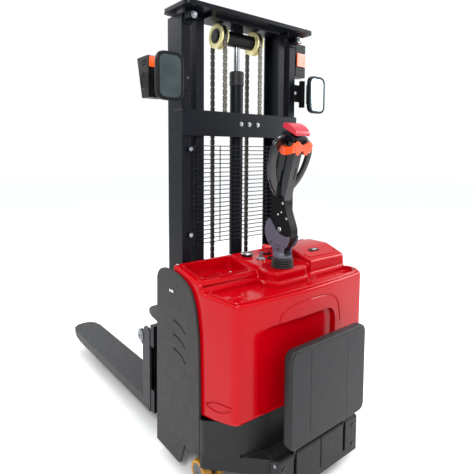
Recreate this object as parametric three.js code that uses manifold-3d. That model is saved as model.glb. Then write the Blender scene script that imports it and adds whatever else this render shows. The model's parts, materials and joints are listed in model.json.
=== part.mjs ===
// Walkie stacker, in millimetres. +X is the operator's right, +Y points along the forks, +Z is up.
// The mast stands at y = 0; the whole truck is then moved so that the origin is under its middle.
import * as THREE from 'three';
import * as BufferGeometryUtils from 'three/addons/utils/BufferGeometryUtils.js';
import Module from 'manifold-3d';

const wasm = await Module();
wasm.setup();

// ---------- driving dimensions ----------
const GAP = 0.3; // clearance between touching or turning pieces
const MIDDLE_Y = 458.5; // middle of the truck's length, measured from the mast's rear face
const ROUND = 20; // sides of an ordinary round piece

const MAST = { half: 359, depth: 120, foot: 170.3, top: 2030, flange: 46, web: 12 };
const INNER = { outer: 279, edge: 237, rear: 4, front: 116, foot: 176, top: 2039.7, plate: 10 };
const TOP_PLATE = { half: 392, rear: -98, front: 115, bottom: 2040, top: 2060, corner: 26 };
const CROSSBEAM = { bottom: 1501, top: 1617, rear: -12, wrap: 4, side: 62 };
const CYLINDER = { y: 60, radius: 33, bore: 27, foot: 171, top: 1756, glandTop: 1826, glandRadius: 36 };
const ROD = { radius: 14.5, foot: 300, piston: 26.5, pistonHeight: 30 };
const PULLEY = { x: 112, z: 1980, radius: 57.5, groove: 42, width: 40, bore: 20, pitch: 50 };
const CHAIN = { width: 20, thick: 16, anchor: 1560, foot: 495.3 };
const DRUM = { radius: 35, half: 91, plateHalf: 31, plateThick: 24 };
const GUARD = { half: 301, bottom: 1003, top: 1458, rear: -9, thick: 4, bar: 12, wire: 4, rows: 22 };

const FORK = { outer: 387, width: 177, rear: 270, heel: 345, tip: 1481, top: 153, bottom: 100, wall: 12 };
const SHAFT = { y: 362, z: 473, radius: 20, half: 396 };
const CARRIAGE = { half: 385, plate: 233, thick: 18, rear: 22, front: 262, top: 560, bottom: 110 };

const PANEL = { outer: 427.5, thick: 12 };
const FRAME = { half: 414, bottom: 158, top: 170, front: 118, side: -238, rear: -456, rearHalf: 216 };
const BUMPER = { side: -236, cornerY: -250, rear: -470, rearHalf: 224, bottom: 130, ledge: 200, top: 392, recess: 326 };
const LEG = { inner: 165, outer: 275, bottom: 30, top: 90, tip: 1195 };
const LOAD_ROLLER = { y: 1150, radius: 40, half: 38, axle: 10 };
const HOOD_EDGE = [[10, 332], [-200, 332], [-300, 352], [-380, 372], [-440, 387], [-500, 392]];
const BUMPER_GAP = 3; // below the hood's lower edge
const HOOD = { half: 412, front: -4, rear: -455, cornerX: 392, cornerY: -425, sideY: -235, wall: 5 };

const STEER_Y = -276;
const DRIVE = { wheelRadius: 115, wheelHalf: 38, axle: 15, turntable: 145, motorRadius: 85, motorTop: 520 };
const CASTOR = { x: 335, y: -140, trail: 30, radius: 50, half: 58, inner: 17, axle: 8, top: 157.7 };

const TILLER = {
  pivotZ: 1018, footDrop: 62, footTop: 50, armHalf: 22, yokeHalf: 30, pin: 8,
  waistY: 11, waistZ: 207, lean: THREE.MathUtils.degToRad(15.4),
};
const HEAD = { hubHalf: 36, crownHalf: 46, crownBottom: 262, shaftY: 4, shaftZ: 244, gripRadius: 14 };
const PLATFORM = { half: 238, front: -522, rear: -564, bottom: 285, top: 681, corner: 40, pinY: -496, pinZ: 205 };
const MOUNT_BLOCK = { half: 250, front: -470.3, rear: -520, bottom: 66, top: 232, slot: 159 };
const MIRROR = { inner: 393, outer: 523, bottom: 1640, top: 1838, rear: -76, front: -52, axisX: 408 };
const SIGNAL = { inner: 418, outer: 494, rear: 50, frontTop: 155, frontBottom: 112 };

// ---------- materials ----------
const paint = (color, roughness, metalness = 0) =>
  new THREE.MeshStandardMaterial({ color, roughness, metalness });
const MAST_BLACK = paint(0x23272f, 0.45, 0.3);
const FRAME_GREY = paint(0x4a4846, 0.55, 0.3);
const DARK_GREY = paint(0x2a2a2b, 0.55, 0.2);
const HOOD_RED = paint(0xc81c26, 0.2);
const BLACK_PLASTIC = paint(0x17181a, 0.4);
const YOKE_GREY = paint(0x5d5a68, 0.45);
const STEEL = paint(0x8d9096, 0.4, 0.9);
const CHROME = paint(0xd0d3d8, 0.12, 1);
const ZINC = paint(0xd9cf8a, 0.35, 0.8);
const SIGNAL_ORANGE = paint(0xf26a1b, 0.3);
const BUTTON_RED = paint(0xc3262c, 0.35);
const TYRE = paint(0x2b2b2b, 0.8);
const AMBER_TYRE = paint(0xc8963c, 0.5);
const GLASS = paint(0xdfe8ea, 0.05, 1);
const MAT_RUBBER = paint(0x3c3c3b, 0.8);

// ---------- solids ----------
function toSolid(geometry) {
  const bare = geometry.clone();
  bare.deleteAttribute('normal');
  bare.deleteAttribute('uv');
  const merged = BufferGeometryUtils.mergeVertices(bare, 1e-3);
  const triangles = Uint32Array.from(merged.index.array);
  const positions = Float32Array.from(merged.attributes.position.array);
  return new wasm.Manifold(new wasm.Mesh({ numProp: 3, vertProperties: positions, triVerts: triangles }));
}

function toGeometry(solid) {
  const mesh = solid.getMesh();
  const geometry = new THREE.BufferGeometry();
  geometry.setAttribute('position', new THREE.BufferAttribute(mesh.vertProperties, 3));
  geometry.setIndex(new THREE.BufferAttribute(mesh.triVerts, 1));
  geometry.computeVertexNormals();
  return geometry;
}

const join = (...solids) => solids.reduce((sum, solid) => sum.add(solid));
const cut = (solid, ...tools) => tools.reduce((rest, tool) => rest.subtract(tool), solid);

function box(x0, x1, y0, y1, z0, z1) {
  const geometry = new THREE.BoxGeometry(Math.abs(x1 - x0), Math.abs(y1 - y0), Math.abs(z1 - z0));
  geometry.translate((x0 + x1) / 2, (y0 + y1) / 2, (z0 + z1) / 2);
  return toSolid(geometry);
}

// Turns an extrusion made along z so that it runs along the given axis.
// Outline points are (y, z) for axis x, (x, z) for axis y and (x, y) for axis z.
const AXIS_BASIS = {
  x: new THREE.Matrix4().makeBasis(
    new THREE.Vector3(0, 1, 0), new THREE.Vector3(0, 0, 1), new THREE.Vector3(1, 0, 0)),
  y: new THREE.Matrix4().makeBasis(
    new THREE.Vector3(1, 0, 0), new THREE.Vector3(0, 0, 1), new THREE.Vector3(0, -1, 0)),
  z: new THREE.Matrix4(),
};

function prism(outline, axis, from, to) {
  const shape = outline instanceof THREE.Shape
    ? outline
    : new THREE.Shape(outline.map(([u, v]) => new THREE.Vector2(u, v)));
  const low = Math.min(from, to);
  const high = Math.max(from, to);
  const geometry = new THREE.ExtrudeGeometry(shape, {
    depth: high - low,
    bevelEnabled: false,
    curveSegments: 3,
  });
  geometry.translate(0, 0, axis === 'y' ? -high : low);
  geometry.applyMatrix4(AXIS_BASIS[axis]);
  return toSolid(geometry);
}

function roundedRectangle(u0, u1, v0, v1, radius) {
  const shape = new THREE.Shape();
  shape.moveTo(u0 + radius, v0);
  shape.lineTo(u1 - radius, v0);
  shape.absarc(u1 - radius, v0 + radius, radius, -Math.PI / 2, 0);
  shape.lineTo(u1, v1 - radius);
  shape.absarc(u1 - radius, v1 - radius, radius, 0, Math.PI / 2);
  shape.lineTo(u0 + radius, v1);
  shape.absarc(u0 + radius, v1 - radius, radius, Math.PI / 2, Math.PI);
  shape.lineTo(u0, v0 + radius);
  shape.absarc(u0 + radius, v0 + radius, radius, Math.PI, 1.5 * Math.PI);
  return shape;
}

function rod(axis, centre, radius, from, to, sides = ROUND) {
  const geometry = new THREE.CylinderGeometry(radius, radius, Math.abs(to - from), sides);
  const middle = (from + to) / 2;
  const [a, b] = centre;
  if (axis === 'x') {
    geometry.rotateZ(Math.PI / 2);
    geometry.translate(middle, a, b);
  } else if (axis === 'y') {
    geometry.translate(a, middle, b);
  } else {
    geometry.rotateX(Math.PI / 2);
    geometry.translate(a, b, middle);
  }
  return toSolid(geometry);
}

// A turned piece: profile points are (radius, distance along the axis).
function turned(profile, axis, sides = ROUND) {
  const geometry = new THREE.LatheGeometry(profile.map(([r, h]) => new THREE.Vector2(r, h)), sides);
  if (axis === 'x') geometry.rotateZ(-Math.PI / 2);
  if (axis === 'z') geometry.rotateX(Math.PI / 2);
  return toSolid(geometry);
}

function tube(points, radius, steps, sides = 10) {
  const path = new THREE.CatmullRomCurve3(points.map((p) => new THREE.Vector3(...p)));
  const section = new THREE.Shape();
  for (let i = 0; i < sides; i += 1) {
    const angle = (2 * Math.PI * i) / sides;
    const [u, v] = [radius * Math.cos(angle), radius * Math.sin(angle)];
    if (i === 0) section.moveTo(u, v);
    else section.lineTo(u, v);
  }
  return toSolid(new THREE.ExtrudeGeometry(section, { steps, extrudePath: path }));
}

const truck = new THREE.Group();

function add(name, solid, material, parent = truck, position = [0, 0, 0]) {
  const mesh = new THREE.Mesh(toGeometry(solid), material);
  mesh.name = name;
  mesh.position.set(...position);
  parent.add(mesh);
}

const SIDES = [['left', -1], ['right', 1]];

// ---------- chassis ----------
function baseFrame() {
  const floor = prism([
    [FRAME.half, FRAME.front], [FRAME.half, FRAME.side], [FRAME.rearHalf, FRAME.rear],
    [-FRAME.rearHalf, FRAME.rear], [-FRAME.half, FRAME.side], [-FRAME.half, FRAME.front],
  ].reverse(), 'z', FRAME.bottom, FRAME.top);
  const frontBeam = box(-FRAME.half, FRAME.half, 0, FRAME.front, 60, FRAME.bottom + 1);
  const rearRibs = SIDES.map(([, s]) => box(s * 190, s * 204, -450, -60, 110, FRAME.bottom + 1));
  const turntableHole = rod('z', [0, STEER_Y], DRIVE.turntable + 5, 100, 200, 32);
  return cut(join(floor, frontBeam, ...rearRibs), turntableHole);
}

function supportLeg(s) {
  const bar = box(s * LEG.inner, s * LEG.outer, FRAME.front + GAP, LEG.tip, LEG.bottom, LEG.top);
  const x = s * (LEG.inner + LEG.outer) / 2;
  const slotHalf = LOAD_ROLLER.half + 5;
  const slot = box(x - slotHalf, x + slotHalf, LOAD_ROLLER.y - 48, LOAD_ROLLER.y + 60, 0, 100);
  const underside = prism([[160, 20], [LOAD_ROLLER.y - 110, 20], [LOAD_ROLLER.y - 70, 44], [160, 44]],
    'x', s * 190, s * 250);
  const axle = rod('x', [LOAD_ROLLER.y, LOAD_ROLLER.radius], LOAD_ROLLER.axle,
    s * (LEG.inner + 2), s * (LEG.outer - 2), 20);
  return join(cut(bar, slot, underside), axle);
}

function sidePanel(s) {
  const outline = [
    [125, 57], [112, 860], [97, 885], [70, 903], [37, 910], [-60, 905], [-105, 892], [-167, 860],
    [-204, 787], [-225, 668], [-232, 353], [-232, 165], [-117, 159], [-84, 57], [-72, 53],
  ];
  const plate = prism(outline, 'x', s * (PANEL.outer - PANEL.thick), s * PANEL.outer);
  const slots = [0, 1, 2].map((i) => {
    const z = 676 - 64 * i;
    return prism([[-34, z + 4], [-75, z - 2], [-118, z - 22], [-118, z - 32], [-75, z - 12], [-34, z - 6]],
      'x', s * (PANEL.outer - 20), s * (PANEL.outer + 5));
  });
  return cut(plate, ...slots);
}

function bumperBand(z0, z1) {
  const outline = (t) => [
    [-PANEL.outer + t, BUMPER.side], [-PANEL.outer + t, BUMPER.cornerY - 0.4 * t],
    [-BUMPER.rearHalf + 0.4 * t, BUMPER.rear + t], [BUMPER.rearHalf - 0.4 * t, BUMPER.rear + t],
    [PANEL.outer - t, BUMPER.cornerY - 0.4 * t], [PANEL.outer - t, BUMPER.side],
  ];
  return prism([...outline(0), ...outline(11).reverse()], 'z', z0, z1);
}

function rearBumper() {
  const low = bumperBand(BUMPER.bottom, BUMPER.ledge);
  const recess = box(-BUMPER.recess, BUMPER.recess, -480, -200, 150, 420);
  const hoodEdge = HOOD_EDGE.map(([y, z]) => [y, z - BUMPER_GAP]);
  const aboveEdge = prism([...hoodEdge, [-500, 420], [10, 420]], 'x', -500, 500);
  const corner = cut(bumperBand(BUMPER.ledge - 1, BUMPER.top), recess, aboveEdge);
  return join(low, corner);
}

function hoodBody(t) {
  const half = HOOD.half - t;
  const plan = [
    [half, HOOD.front - t], [half, HOOD.sideY], [HOOD.cornerX + 6 - t, HOOD.cornerY + 30],
    [HOOD.cornerX - 4 - t, HOOD.cornerY - 4 + t], [HOOD.cornerX - 30 - t, HOOD.cornerY - 11 + t],
    [200, HOOD.rear + 9 + t], [0, HOOD.rear + t], [-200, HOOD.rear + 9 + t],
    [-HOOD.cornerX + 30 + t, HOOD.cornerY - 11 + t], [-HOOD.cornerX + 4 + t, HOOD.cornerY - 4 + t],
    [-HOOD.cornerX - 6 + t, HOOD.cornerY + 30], [-half, HOOD.sideY], [-half, HOOD.front - t],
  ].reverse();
  const column = prism(plan, 'z', 280, 1000);
  const zone = (x0, x1, ridge) => prism(
    [[0, 250], [0, ridge[0][1] - t], ...ridge.map(([y, z]) => [y + (y < -190 ? t : 0), z - t]), [-480, 250]],
    'x', x0 + t, x1 - t);
  const shelf = zone(-HOOD.half, HOOD.half, [[-4, 862], [-480, 858]]);
  const leftDeck = zone(-HOOD.half, -94, [[-4, 932], [-205, 892], [-216, 850]]);
  const console = zone(-96, 142, [[-4, 932], [-60, 922], [-222, 911], [-332, 911], [-342, 850]]);
  const rightDeck = zone(140 - 2 * t, HOOD.half, [[-4, 932], [-95, 957], [-200, 957], [-304, 922], [-314, 850]]);
  const tray = box(-375 - t, -120 + t, -178 - t, -34 + t, 874 - t, 1000);
  const knee = box(-290 - t, 170 + t, -500, -432 + t, 395 - 60 * (t > 0), 745 + t);
  return cut(column.intersect(join(shelf, leftDeck, console, rightDeck)), tray, knee);
}

function hoodCover() {
  const skirt = prism([[10, 200], ...HOOD_EDGE, [-500, 200]].reverse(), 'x', -500, 500);
  const steerHole = rod('z', [0, STEER_Y], 30, 800, 1000);
  const sockets = [
    rod('z', [84, -79], 11.5, 850, 1000, 16),
    rod('z', [-3, -136], 12.5, 850, 1000, 16),
    rod('z', [-25, -60], 25.5, 850, 1000, 24),
  ];
  return cut(hoodBody(0), hoodBody(HOOD.wall), skirt, steerHole, ...sockets);
}

function hydraulicUnit() {
  const tank = prism(roundedRectangle(190, 330, -325, -205, 14), 'z', 171, 330);
  const motor = rod('z', [258, -270], 50, 329, 520);
  const block = box(228, 288, -222, -207, 329, 400);
  return join(tank, motor, block);
}

function motorController() {
  const base = box(-330, -190, -325, -205, 171, 240);
  const fins = [0, 1, 2, 3, 4].map((i) => box(-322 + 28 * i, -314 + 28 * i, -320, -210, 239, 262));
  return join(base, ...fins);
}

function addChassis() {
  add('base_frame', baseFrame(), FRAME_GREY);
  add('rear_bumper', rearBumper(), DARK_GREY);
  add('hood_cover', hoodCover(), HOOD_RED);
  add('battery', prism(roundedRectangle(-305, 305, -165, -12, 8), 'z', 171, 440), BLACK_PLASTIC);
  add('hydraulic_power_unit', hydraulicUnit(), DARK_GREY);
  add('motor_controller', motorController(), BLACK_PLASTIC);
  SIDES.forEach(([name, s]) => {
    add(`${name}_support_leg`, supportLeg(s), MAST_BLACK);
    add(`${name}_side_panel`, sidePanel(s), FRAME_GREY);
  });
}

function addConsoleControls() {
  const gauge = turned([[0, -18], [25, -18], [25, 2], [29, 2], [29, 6], [0, 6]], 'z', 24);
  add('battery_gauge', gauge, BLACK_PLASTIC, truck, [-25, -60, 926.5]);
  const stop = turned(
    [[0, -22], [11, -22], [11, 24], [21, 25], [23, 30], [22, 38], [15, 43], [0, 44]], 'z', 24);
  add('emergency_stop', stop, BUTTON_RED, truck, [84, -79, 923]);
  const barrel = turned([[0, -20], [12, -20], [12, 1], [15, 1], [15, 6], [0, 6]], 'z', 20);
  const bow = prism(roundedRectangle(-11, 11, 4, 34, 8), 'y', -1.5, 1.5);
  add('ignition_key', join(barrel, bow), STEEL, truck, [-3, -136, 921]);
}

// ---------- mast ----------
function outerChannel(s) {
  const { half, depth, flange, web, foot, top } = MAST;
  const section = [
    [half, 0], [half, depth], [half - flange, depth], [half - flange, depth - web],
    [half - web, depth - web], [half - web, web], [half - flange, web], [half - flange, 0],
  ].map(([x, y]) => [s * x, y]);
  return prism(section, 'z', foot, top);
}

function innerChannel(s) {
  const { outer, edge, rear, front, plate, foot, top } = INNER;
  const section = [
    [outer, rear], [outer, front], [edge, front], [edge, front - plate],
    [outer - plate, front - plate], [outer - plate, rear + plate], [edge, rear + plate], [edge, rear],
  ].map(([x, y]) => [s * x, y]);
  return prism(section, 'z', foot, top);
}

function crossbeam() {
  const outer = MAST.half + GAP + CROSSBEAM.wrap;
  const inner = MAST.half + GAP;
  const back = box(-outer, outer, CROSSBEAM.rear, -GAP, CROSSBEAM.bottom, CROSSBEAM.top);
  const wraps = SIDES.map(([, s]) => box(s * inner, s * outer, CROSSBEAM.rear, CROSSBEAM.side,
    CROSSBEAM.bottom, CROSSBEAM.top));
  const anchors = SIDES.map(([, s]) => box(s * PULLEY.x - 16, s * PULLEY.x + 16, -GAP - 1, 22, 1520,
    CHAIN.anchor - GAP));
  return join(back, ...wraps, ...anchors);
}

function wireGuard() {
  const { half, bottom, top, rear, thick, bar, wire, rows } = GUARD;
  const columns = 2;
  const pitchX = (2 * half - 2 * bar + wire) / columns;
  const pitchZ = (top - bottom - wire) / rows;
  const cells = [];
  for (let row = 0; row < rows; row += 1) {
    for (let column = 0; column < columns; column += 1) {
      const x = -half + bar + column * pitchX;
      const z = bottom + wire + row * pitchZ;
      cells.push(box(x, x + pitchX - wire, rear - 1, rear + thick + 1, z, z + pitchZ - wire));
    }
  }
  const tabs = SIDES.flatMap(([, s]) => [1040, 1430].map((z) => box(s * (half - 4), s * 332,
    rear, -GAP, z, z + 22)));
  return join(cut(box(-half, half, rear, rear + thick, bottom, top), ...cells), ...tabs);
}

function topPlate() {
  const { half, rear, front, bottom, top, corner } = TOP_PLATE;
  return prism(roundedRectangle(-half, half, rear, front, corner), 'z', bottom, top);
}

function crosshead() {
  const drum = rod('x', [CYLINDER.y, PULLEY.z], DRUM.radius, -DRUM.half, DRUM.half);
  const hanger = box(-DRUM.plateHalf, DRUM.plateHalf, CYLINDER.y - DRUM.plateThick / 2,
    CYLINDER.y + DRUM.plateThick / 2, PULLEY.z, TOP_PLATE.bottom - GAP);
  const axle = rod('x', [CYLINDER.y, PULLEY.z], PULLEY.bore - GAP, -PULLEY.x - 24, PULLEY.x + 24);
  const rims = SIDES.map(([, s]) => rod('x', [CYLINDER.y, PULLEY.z], PULLEY.bore + 5,
    s * (PULLEY.x + 21), s * (PULLEY.x + 25)));
  return join(drum, hanger, axle, ...rims);
}

function chainPulley() {
  const w = PULLEY.width / 2;
  const g = CHAIN.width / 2 + 2;
  return turned([
    [PULLEY.bore, -w], [PULLEY.radius, -w], [PULLEY.radius, -g], [PULLEY.groove - 1, -g],
    [PULLEY.groove - 1, g], [PULLEY.radius, g], [PULLEY.radius, w], [PULLEY.bore, w], [PULLEY.bore, -w],
  ], 'x', 24);
}

function addMast() {
  SIDES.forEach(([name, s]) => {
    add(`${name}_mast_channel`, outerChannel(s), MAST_BLACK);
    add(`inner_${name}_channel`, innerChannel(s), MAST_BLACK);
    add(`${name}_chain_pulley`, chainPulley(), ZINC, truck, [s * PULLEY.x, CYLINDER.y, PULLEY.z]);
    const x = s * PULLEY.x;
    const chain = (y, z0, z1) => box(x - CHAIN.width / 2, x + CHAIN.width / 2, y - CHAIN.thick / 2,
      y + CHAIN.thick / 2, z0, z1);
    add(`${name}_rear_chain`, chain(CYLINDER.y - PULLEY.pitch, CHAIN.anchor, PULLEY.z), STEEL);
    add(`${name}_front_chain`, chain(CYLINDER.y + PULLEY.pitch, CHAIN.foot, PULLEY.z), STEEL);
  });
  add('mast_crossbeam', crossbeam(), MAST_BLACK);
  add('wire_guard', wireGuard(), MAST_BLACK);
  add('mast_top_plate', topPlate(), MAST_BLACK);
  add('lift_crosshead', crosshead(), MAST_BLACK);
  const at = [0, CYLINDER.y];
  const barrel = cut(rod('z', at, CYLINDER.radius, CYLINDER.foot, CYLINDER.top),
    rod('z', at, CYLINDER.bore, CYLINDER.foot + 14, CYLINDER.top + 5));
  add('cylinder_tube', barrel, MAST_BLACK);
  const gland = cut(rod('z', at, CYLINDER.glandRadius, CYLINDER.top + GAP, CYLINDER.glandTop),
    rod('z', at, ROD.radius + GAP, CYLINDER.top - 5, CYLINDER.glandTop + 5));
  add('cylinder_gland', gland, DARK_GREY);
  const piston = rod('z', at, ROD.piston, ROD.foot, ROD.foot + ROD.pistonHeight);
  const ram = rod('z', at, ROD.radius, ROD.foot + 5, PULLEY.z - DRUM.radius - GAP);
  add('piston_rod', join(piston, ram), CHROME);
}

// ---------- carriage and forks ----------
function carriageFrame() {
  const { half, plate, thick, rear, front, top, bottom } = CARRIAGE;
  const cheeks = SIDES.map(([, s]) => prism(
    [[rear, 190], [128, 190], [128, bottom], [front, bottom], [front, top], [rear, top]],
    'x', s * (plate - thick), s * plate));
  const upperBar = box(-half, half, front - 34, front, 452, top);
  const lowerBar = box(-half, half, front - 34, front, bottom, 226);
  const chainBar = box(-plate + 1, plate - 1, CYLINDER.y + PULLEY.pitch - 12,
    CYLINDER.y + PULLEY.pitch + 14, CHAIN.foot - GAP - 30, CHAIN.foot - GAP);
  const ears = SIDES.map(([, s]) => prism(
    [[front - 5, 425], [SHAFT.y, 439], [SHAFT.y + 30, 458], [SHAFT.y + 30, 490], [SHAFT.y, 507], [front - 5, 535]],
    'x', s * 290, s * 306));
  const middleEars = SIDES.map(([, s]) => prism(
    [[front - 5, 425], [SHAFT.y, 439], [SHAFT.y + 30, 458], [SHAFT.y + 30, 490], [SHAFT.y, 507], [front - 5, 535]],
    'x', s * 88, s * 104));
  const bore = rod('x', [SHAFT.y, SHAFT.z], SHAFT.radius + GAP, -450, 450);
  return cut(join(...cheeks, upperBar, lowerBar, chainBar, ...ears, ...middleEars), bore);
}

function fork(s) {
  const { outer, width, rear, heel, tip, top, bottom, wall } = FORK;
  const inner = outer - width;
  const middle = outer - width / 2;
  const plan = new THREE.Shape();
  plan.moveTo(s * outer, rear);
  plan.lineTo(s * outer, tip - 110);
  plan.bezierCurveTo(s * outer, tip - 20, s * (middle + 40), tip, s * middle, tip);
  plan.bezierCurveTo(s * (middle - 40), tip, s * inner, tip - 20, s * inner, tip - 110);
  plan.lineTo(s * inner, rear);
  const blade = prism(plan, 'z', bottom, top);
  const pocket = box(s * (inner + wall), s * (outer - wall), rear - 5, tip - 130, bottom - 5, top - wall);
  const nose = prism([[tip - 200, bottom - 1], [tip + 5, bottom - 1], [tip + 5, bottom + 26]],
    'x', s * (inner - 5), s * (outer + 5));
  const profile = new THREE.Shape();
  profile.moveTo(rear, bottom);
  profile.lineTo(heel, bottom);
  profile.lineTo(heel, 430);
  profile.absarc(SHAFT.y, SHAFT.z, 34, -1.35, 2.1);
  profile.lineTo(322, 535);
  profile.lineTo(285, 535);
  profile.lineTo(rear, 520);
  const shank = prism(profile, 'x', s * inner, s * outer);
  const shankPocket = box(s * (inner + wall), s * (outer - wall), rear - 5, heel - 14, bottom - 5, 560);
  const lugGap = box(s * (inner + wall), s * (outer - wall), rear - 5, 420, 428, 560);
  const eye = rod('x', [SHAFT.y, SHAFT.z], SHAFT.radius + GAP, s * (inner - 5), s * (outer + 5));
  return join(cut(shank, shankPocket, lugGap, eye), cut(blade, pocket, nose));
}

function addCarriage() {
  add('carriage_frame', carriageFrame(), MAST_BLACK);
  const bar = rod('x', [SHAFT.y, SHAFT.z], SHAFT.radius, -SHAFT.half, SHAFT.half);
  const washers = SIDES.map(([, s]) => rod('x', [SHAFT.y, SHAFT.z], SHAFT.radius + 9,
    s * (FORK.outer + GAP), s * (FORK.outer + 5)));
  add('fork_shaft', join(bar, ...washers), STEEL);
  SIDES.forEach(([name, s]) => add(`${name}_fork`, fork(s), FRAME_GREY));
}

// ---------- drive and wheels ----------
function driveUnit() {
  const turntable = rod('z', [0, 0], DRIVE.turntable, FRAME.bottom, FRAME.top, 32);
  const motor = rod('z', [0, 0], DRIVE.motorRadius, 240, DRIVE.motorTop);
  const plinth = box(-60, 60, -60, 60, FRAME.top - 1, 245);
  const wheelRoom = rod('x', [0, DRIVE.wheelRadius], DRIVE.wheelRadius + 6,
    -DRIVE.wheelHalf - 3, DRIVE.wheelHalf + 3, 32);
  const cheeks = SIDES.map(([, s]) => prism([[-50, 165], [-26, 90], [26, 90], [50, 165]].reverse(),
    'x', s * 42, s * 56));
  const hub = SIDES.map(([, s]) => rod('x', [0, DRIVE.wheelRadius], 30, s * 42, s * 56));
  const axle = rod('x', [0, DRIVE.wheelRadius], DRIVE.axle, -50, 50, 20);
  return join(cut(join(turntable, motor, plinth), wheelRoom), ...cheeks, ...hub, axle);
}

function ringWheel(radius, half, bore, chamfer, sides) {
  return turned([
    [bore, -half], [radius - chamfer, -half], [radius, -half + chamfer], [radius, half - chamfer],
    [radius - chamfer, half], [bore, half], [bore, -half],
  ], 'x', sides);
}

function castorFork() {
  const head = rod('z', [0, 0], 38, CASTOR.top - 16, CASTOR.top);
  const neck = prism([
    [-22, 142], [-46, 78], [-48, 40], [-14, 34], [14, 100], [24, 142],
  ], 'x', -13, 13);
  const bore = rod('x', [-CASTOR.trail, CASTOR.radius], CASTOR.axle + GAP, -20, 20, 16);
  return cut(join(head, neck), bore);
}

function castorWheel() {
  const disc = (s) => join(
    rod('x', [0, 0], CASTOR.radius - 3, s * CASTOR.inner, s * CASTOR.half, 20),
    rod('x', [0, 0], CASTOR.radius, s * (CASTOR.inner + 4), s * (CASTOR.half - 4), 20),
  );
  return join(disc(-1), disc(1), rod('x', [0, 0], CASTOR.axle, -30, 30, 16));
}

function addWheels() {
  add('drive_unit', driveUnit(), DARK_GREY, truck, [0, STEER_Y, 0]);
  add('drive_wheel', ringWheel(DRIVE.wheelRadius, DRIVE.wheelHalf, DRIVE.axle + GAP, 6, 28), TYRE, truck,
    [0, STEER_Y, DRIVE.wheelRadius]);
  SIDES.forEach(([name, s]) => {
    add(`${name}_castor_fork`, castorFork(), DARK_GREY, truck, [s * CASTOR.x, CASTOR.y, 0]);
    add(`${name}_castor_wheel`, castorWheel(), AMBER_TYRE, truck,
      [s * CASTOR.x, CASTOR.y - CASTOR.trail, CASTOR.radius]);
    add(`${name}_load_roller`, ringWheel(LOAD_ROLLER.radius, LOAD_ROLLER.half, LOAD_ROLLER.axle + GAP, 3, 20),
      AMBER_TYRE, truck, [s * (LEG.inner + LEG.outer) / 2, LOAD_ROLLER.y, LOAD_ROLLER.radius]);
  });
}

// ---------- folding platform ----------
function platformMount() {
  const { half, front, rear, bottom, top, slot } = MOUNT_BLOCK;
  const block = prism([[front, bottom], [front, top - 20], [rear + 12, top], [rear, top - 8], [rear, bottom]],
    'x', -half, half);
  const armSlots = SIDES.map(([, s]) => box(s * (slot - 9), s * (slot + 9), rear - 5, front - 8,
    bottom + 34, top + 5));
  const centreSlot = box(-3, 3, rear - 5, front - 20, bottom + 34, top + 5);
  const bore = rod('x', [PLATFORM.pinY, PLATFORM.pinZ], 8 + GAP, -half - 5, half + 5, 20);
  return cut(block, ...armSlots, centreSlot, bore);
}

function platformDeck() {
  const { half, front, rear, bottom, top, corner, pinY, pinZ } = PLATFORM;
  const tray = prism(roundedRectangle(-half, half, bottom, top, corner), 'y', rear + 8, front);
  const underside = prism(roundedRectangle(-half + 8, half - 8, bottom + 8, top - 8, corner - 8), 'y',
    rear, rear + 9);
  const arms = SIDES.map(([, s]) => join(
    prism([[pinY - 16, pinZ], [pinY + 16, pinZ], [pinY + 8, bottom + 40], [front - 1, bottom + 70],
      [front - 6, bottom + 10]], 'x', s * (MOUNT_BLOCK.slot - 6), s * (MOUNT_BLOCK.slot + 6)),
    rod('x', [pinY, pinZ], 16, s * (MOUNT_BLOCK.slot - 6), s * (MOUNT_BLOCK.slot + 6), 20),
  ));
  const bore = rod('x', [pinY, pinZ], 8 + GAP, -half, half, 20);
  return cut(join(tray, underside, ...arms), bore);
}

function addPlatform() {
  add('platform_mount', platformMount(), DARK_GREY);
  add('platform_hinge_pin', rod('x', [PLATFORM.pinY, PLATFORM.pinZ], 8, -MOUNT_BLOCK.half - 2,
    MOUNT_BLOCK.half + 2, 16), STEEL);
  add('platform_deck', platformDeck(), MAT_RUBBER);
}

// ---------- mirrors and signals ----------
function mirrorBracket(s) {
  const plate = box(s * 336, s * 402, -14, -GAP, 1700, 1790);
  const block = box(s * 378, s * 402, -34, -13, 1670, 1812);
  return join(plate, block);
}

function mirror(s) {
  const { inner, outer, bottom, top, rear, front } = MIRROR;
  const shell = prism(roundedRectangle(Math.min(s * inner, s * outer), Math.max(s * inner, s * outer),
    bottom, top, 28), 'y', rear, front);
  const post = rod('z', [s * MIRROR.axisX, -44], 5.5, 1690, 1790, 12);
  const strap = box(s * (MIRROR.axisX - 4), s * (MIRROR.axisX + 4), front - 1, -42, 1700, 1780);
  return join(shell, post, strap);
}

function signalBox(s, z0, z1) {
  const { inner, outer, rear, frontTop, frontBottom } = SIGNAL;
  const shell = prism([[rear, z0], [frontBottom, z0], [frontTop, z1], [rear, z1]], 'x', s * inner, s * outer);
  const tab = box(s * (MAST.half + GAP), s * (inner + 1), rear + 8, rear + 44, z0 + 40, z0 + 110);
  return join(shell, tab);
}

function signalLens(s, z0, z1) {
  return prism(roundedRectangle(Math.min(s * 421, s * 491), Math.max(s * 421, s * 491), z0, z1, 4), 'y',
    SIGNAL.rear - 7, SIGNAL.rear - GAP);
}

function addFittings() {
  const boxHeights = { left: [1662, 1840, 1790, 1836], right: [1849, 2030, 1907, 1979] };
  SIDES.forEach(([name, s]) => {
    const [z0, z1, lens0, lens1] = boxHeights[name];
    add(`${name}_signal_box`, signalBox(s, z0, z1), BLACK_PLASTIC);
    add(`${name}_signal_lens`, signalLens(s, lens0, lens1), SIGNAL_ORANGE);
    add(`${name}_mirror_bracket`, mirrorBracket(s), BLACK_PLASTIC);
    add(`${name}_mirror`, mirror(s), GLASS);
  });
}

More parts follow.
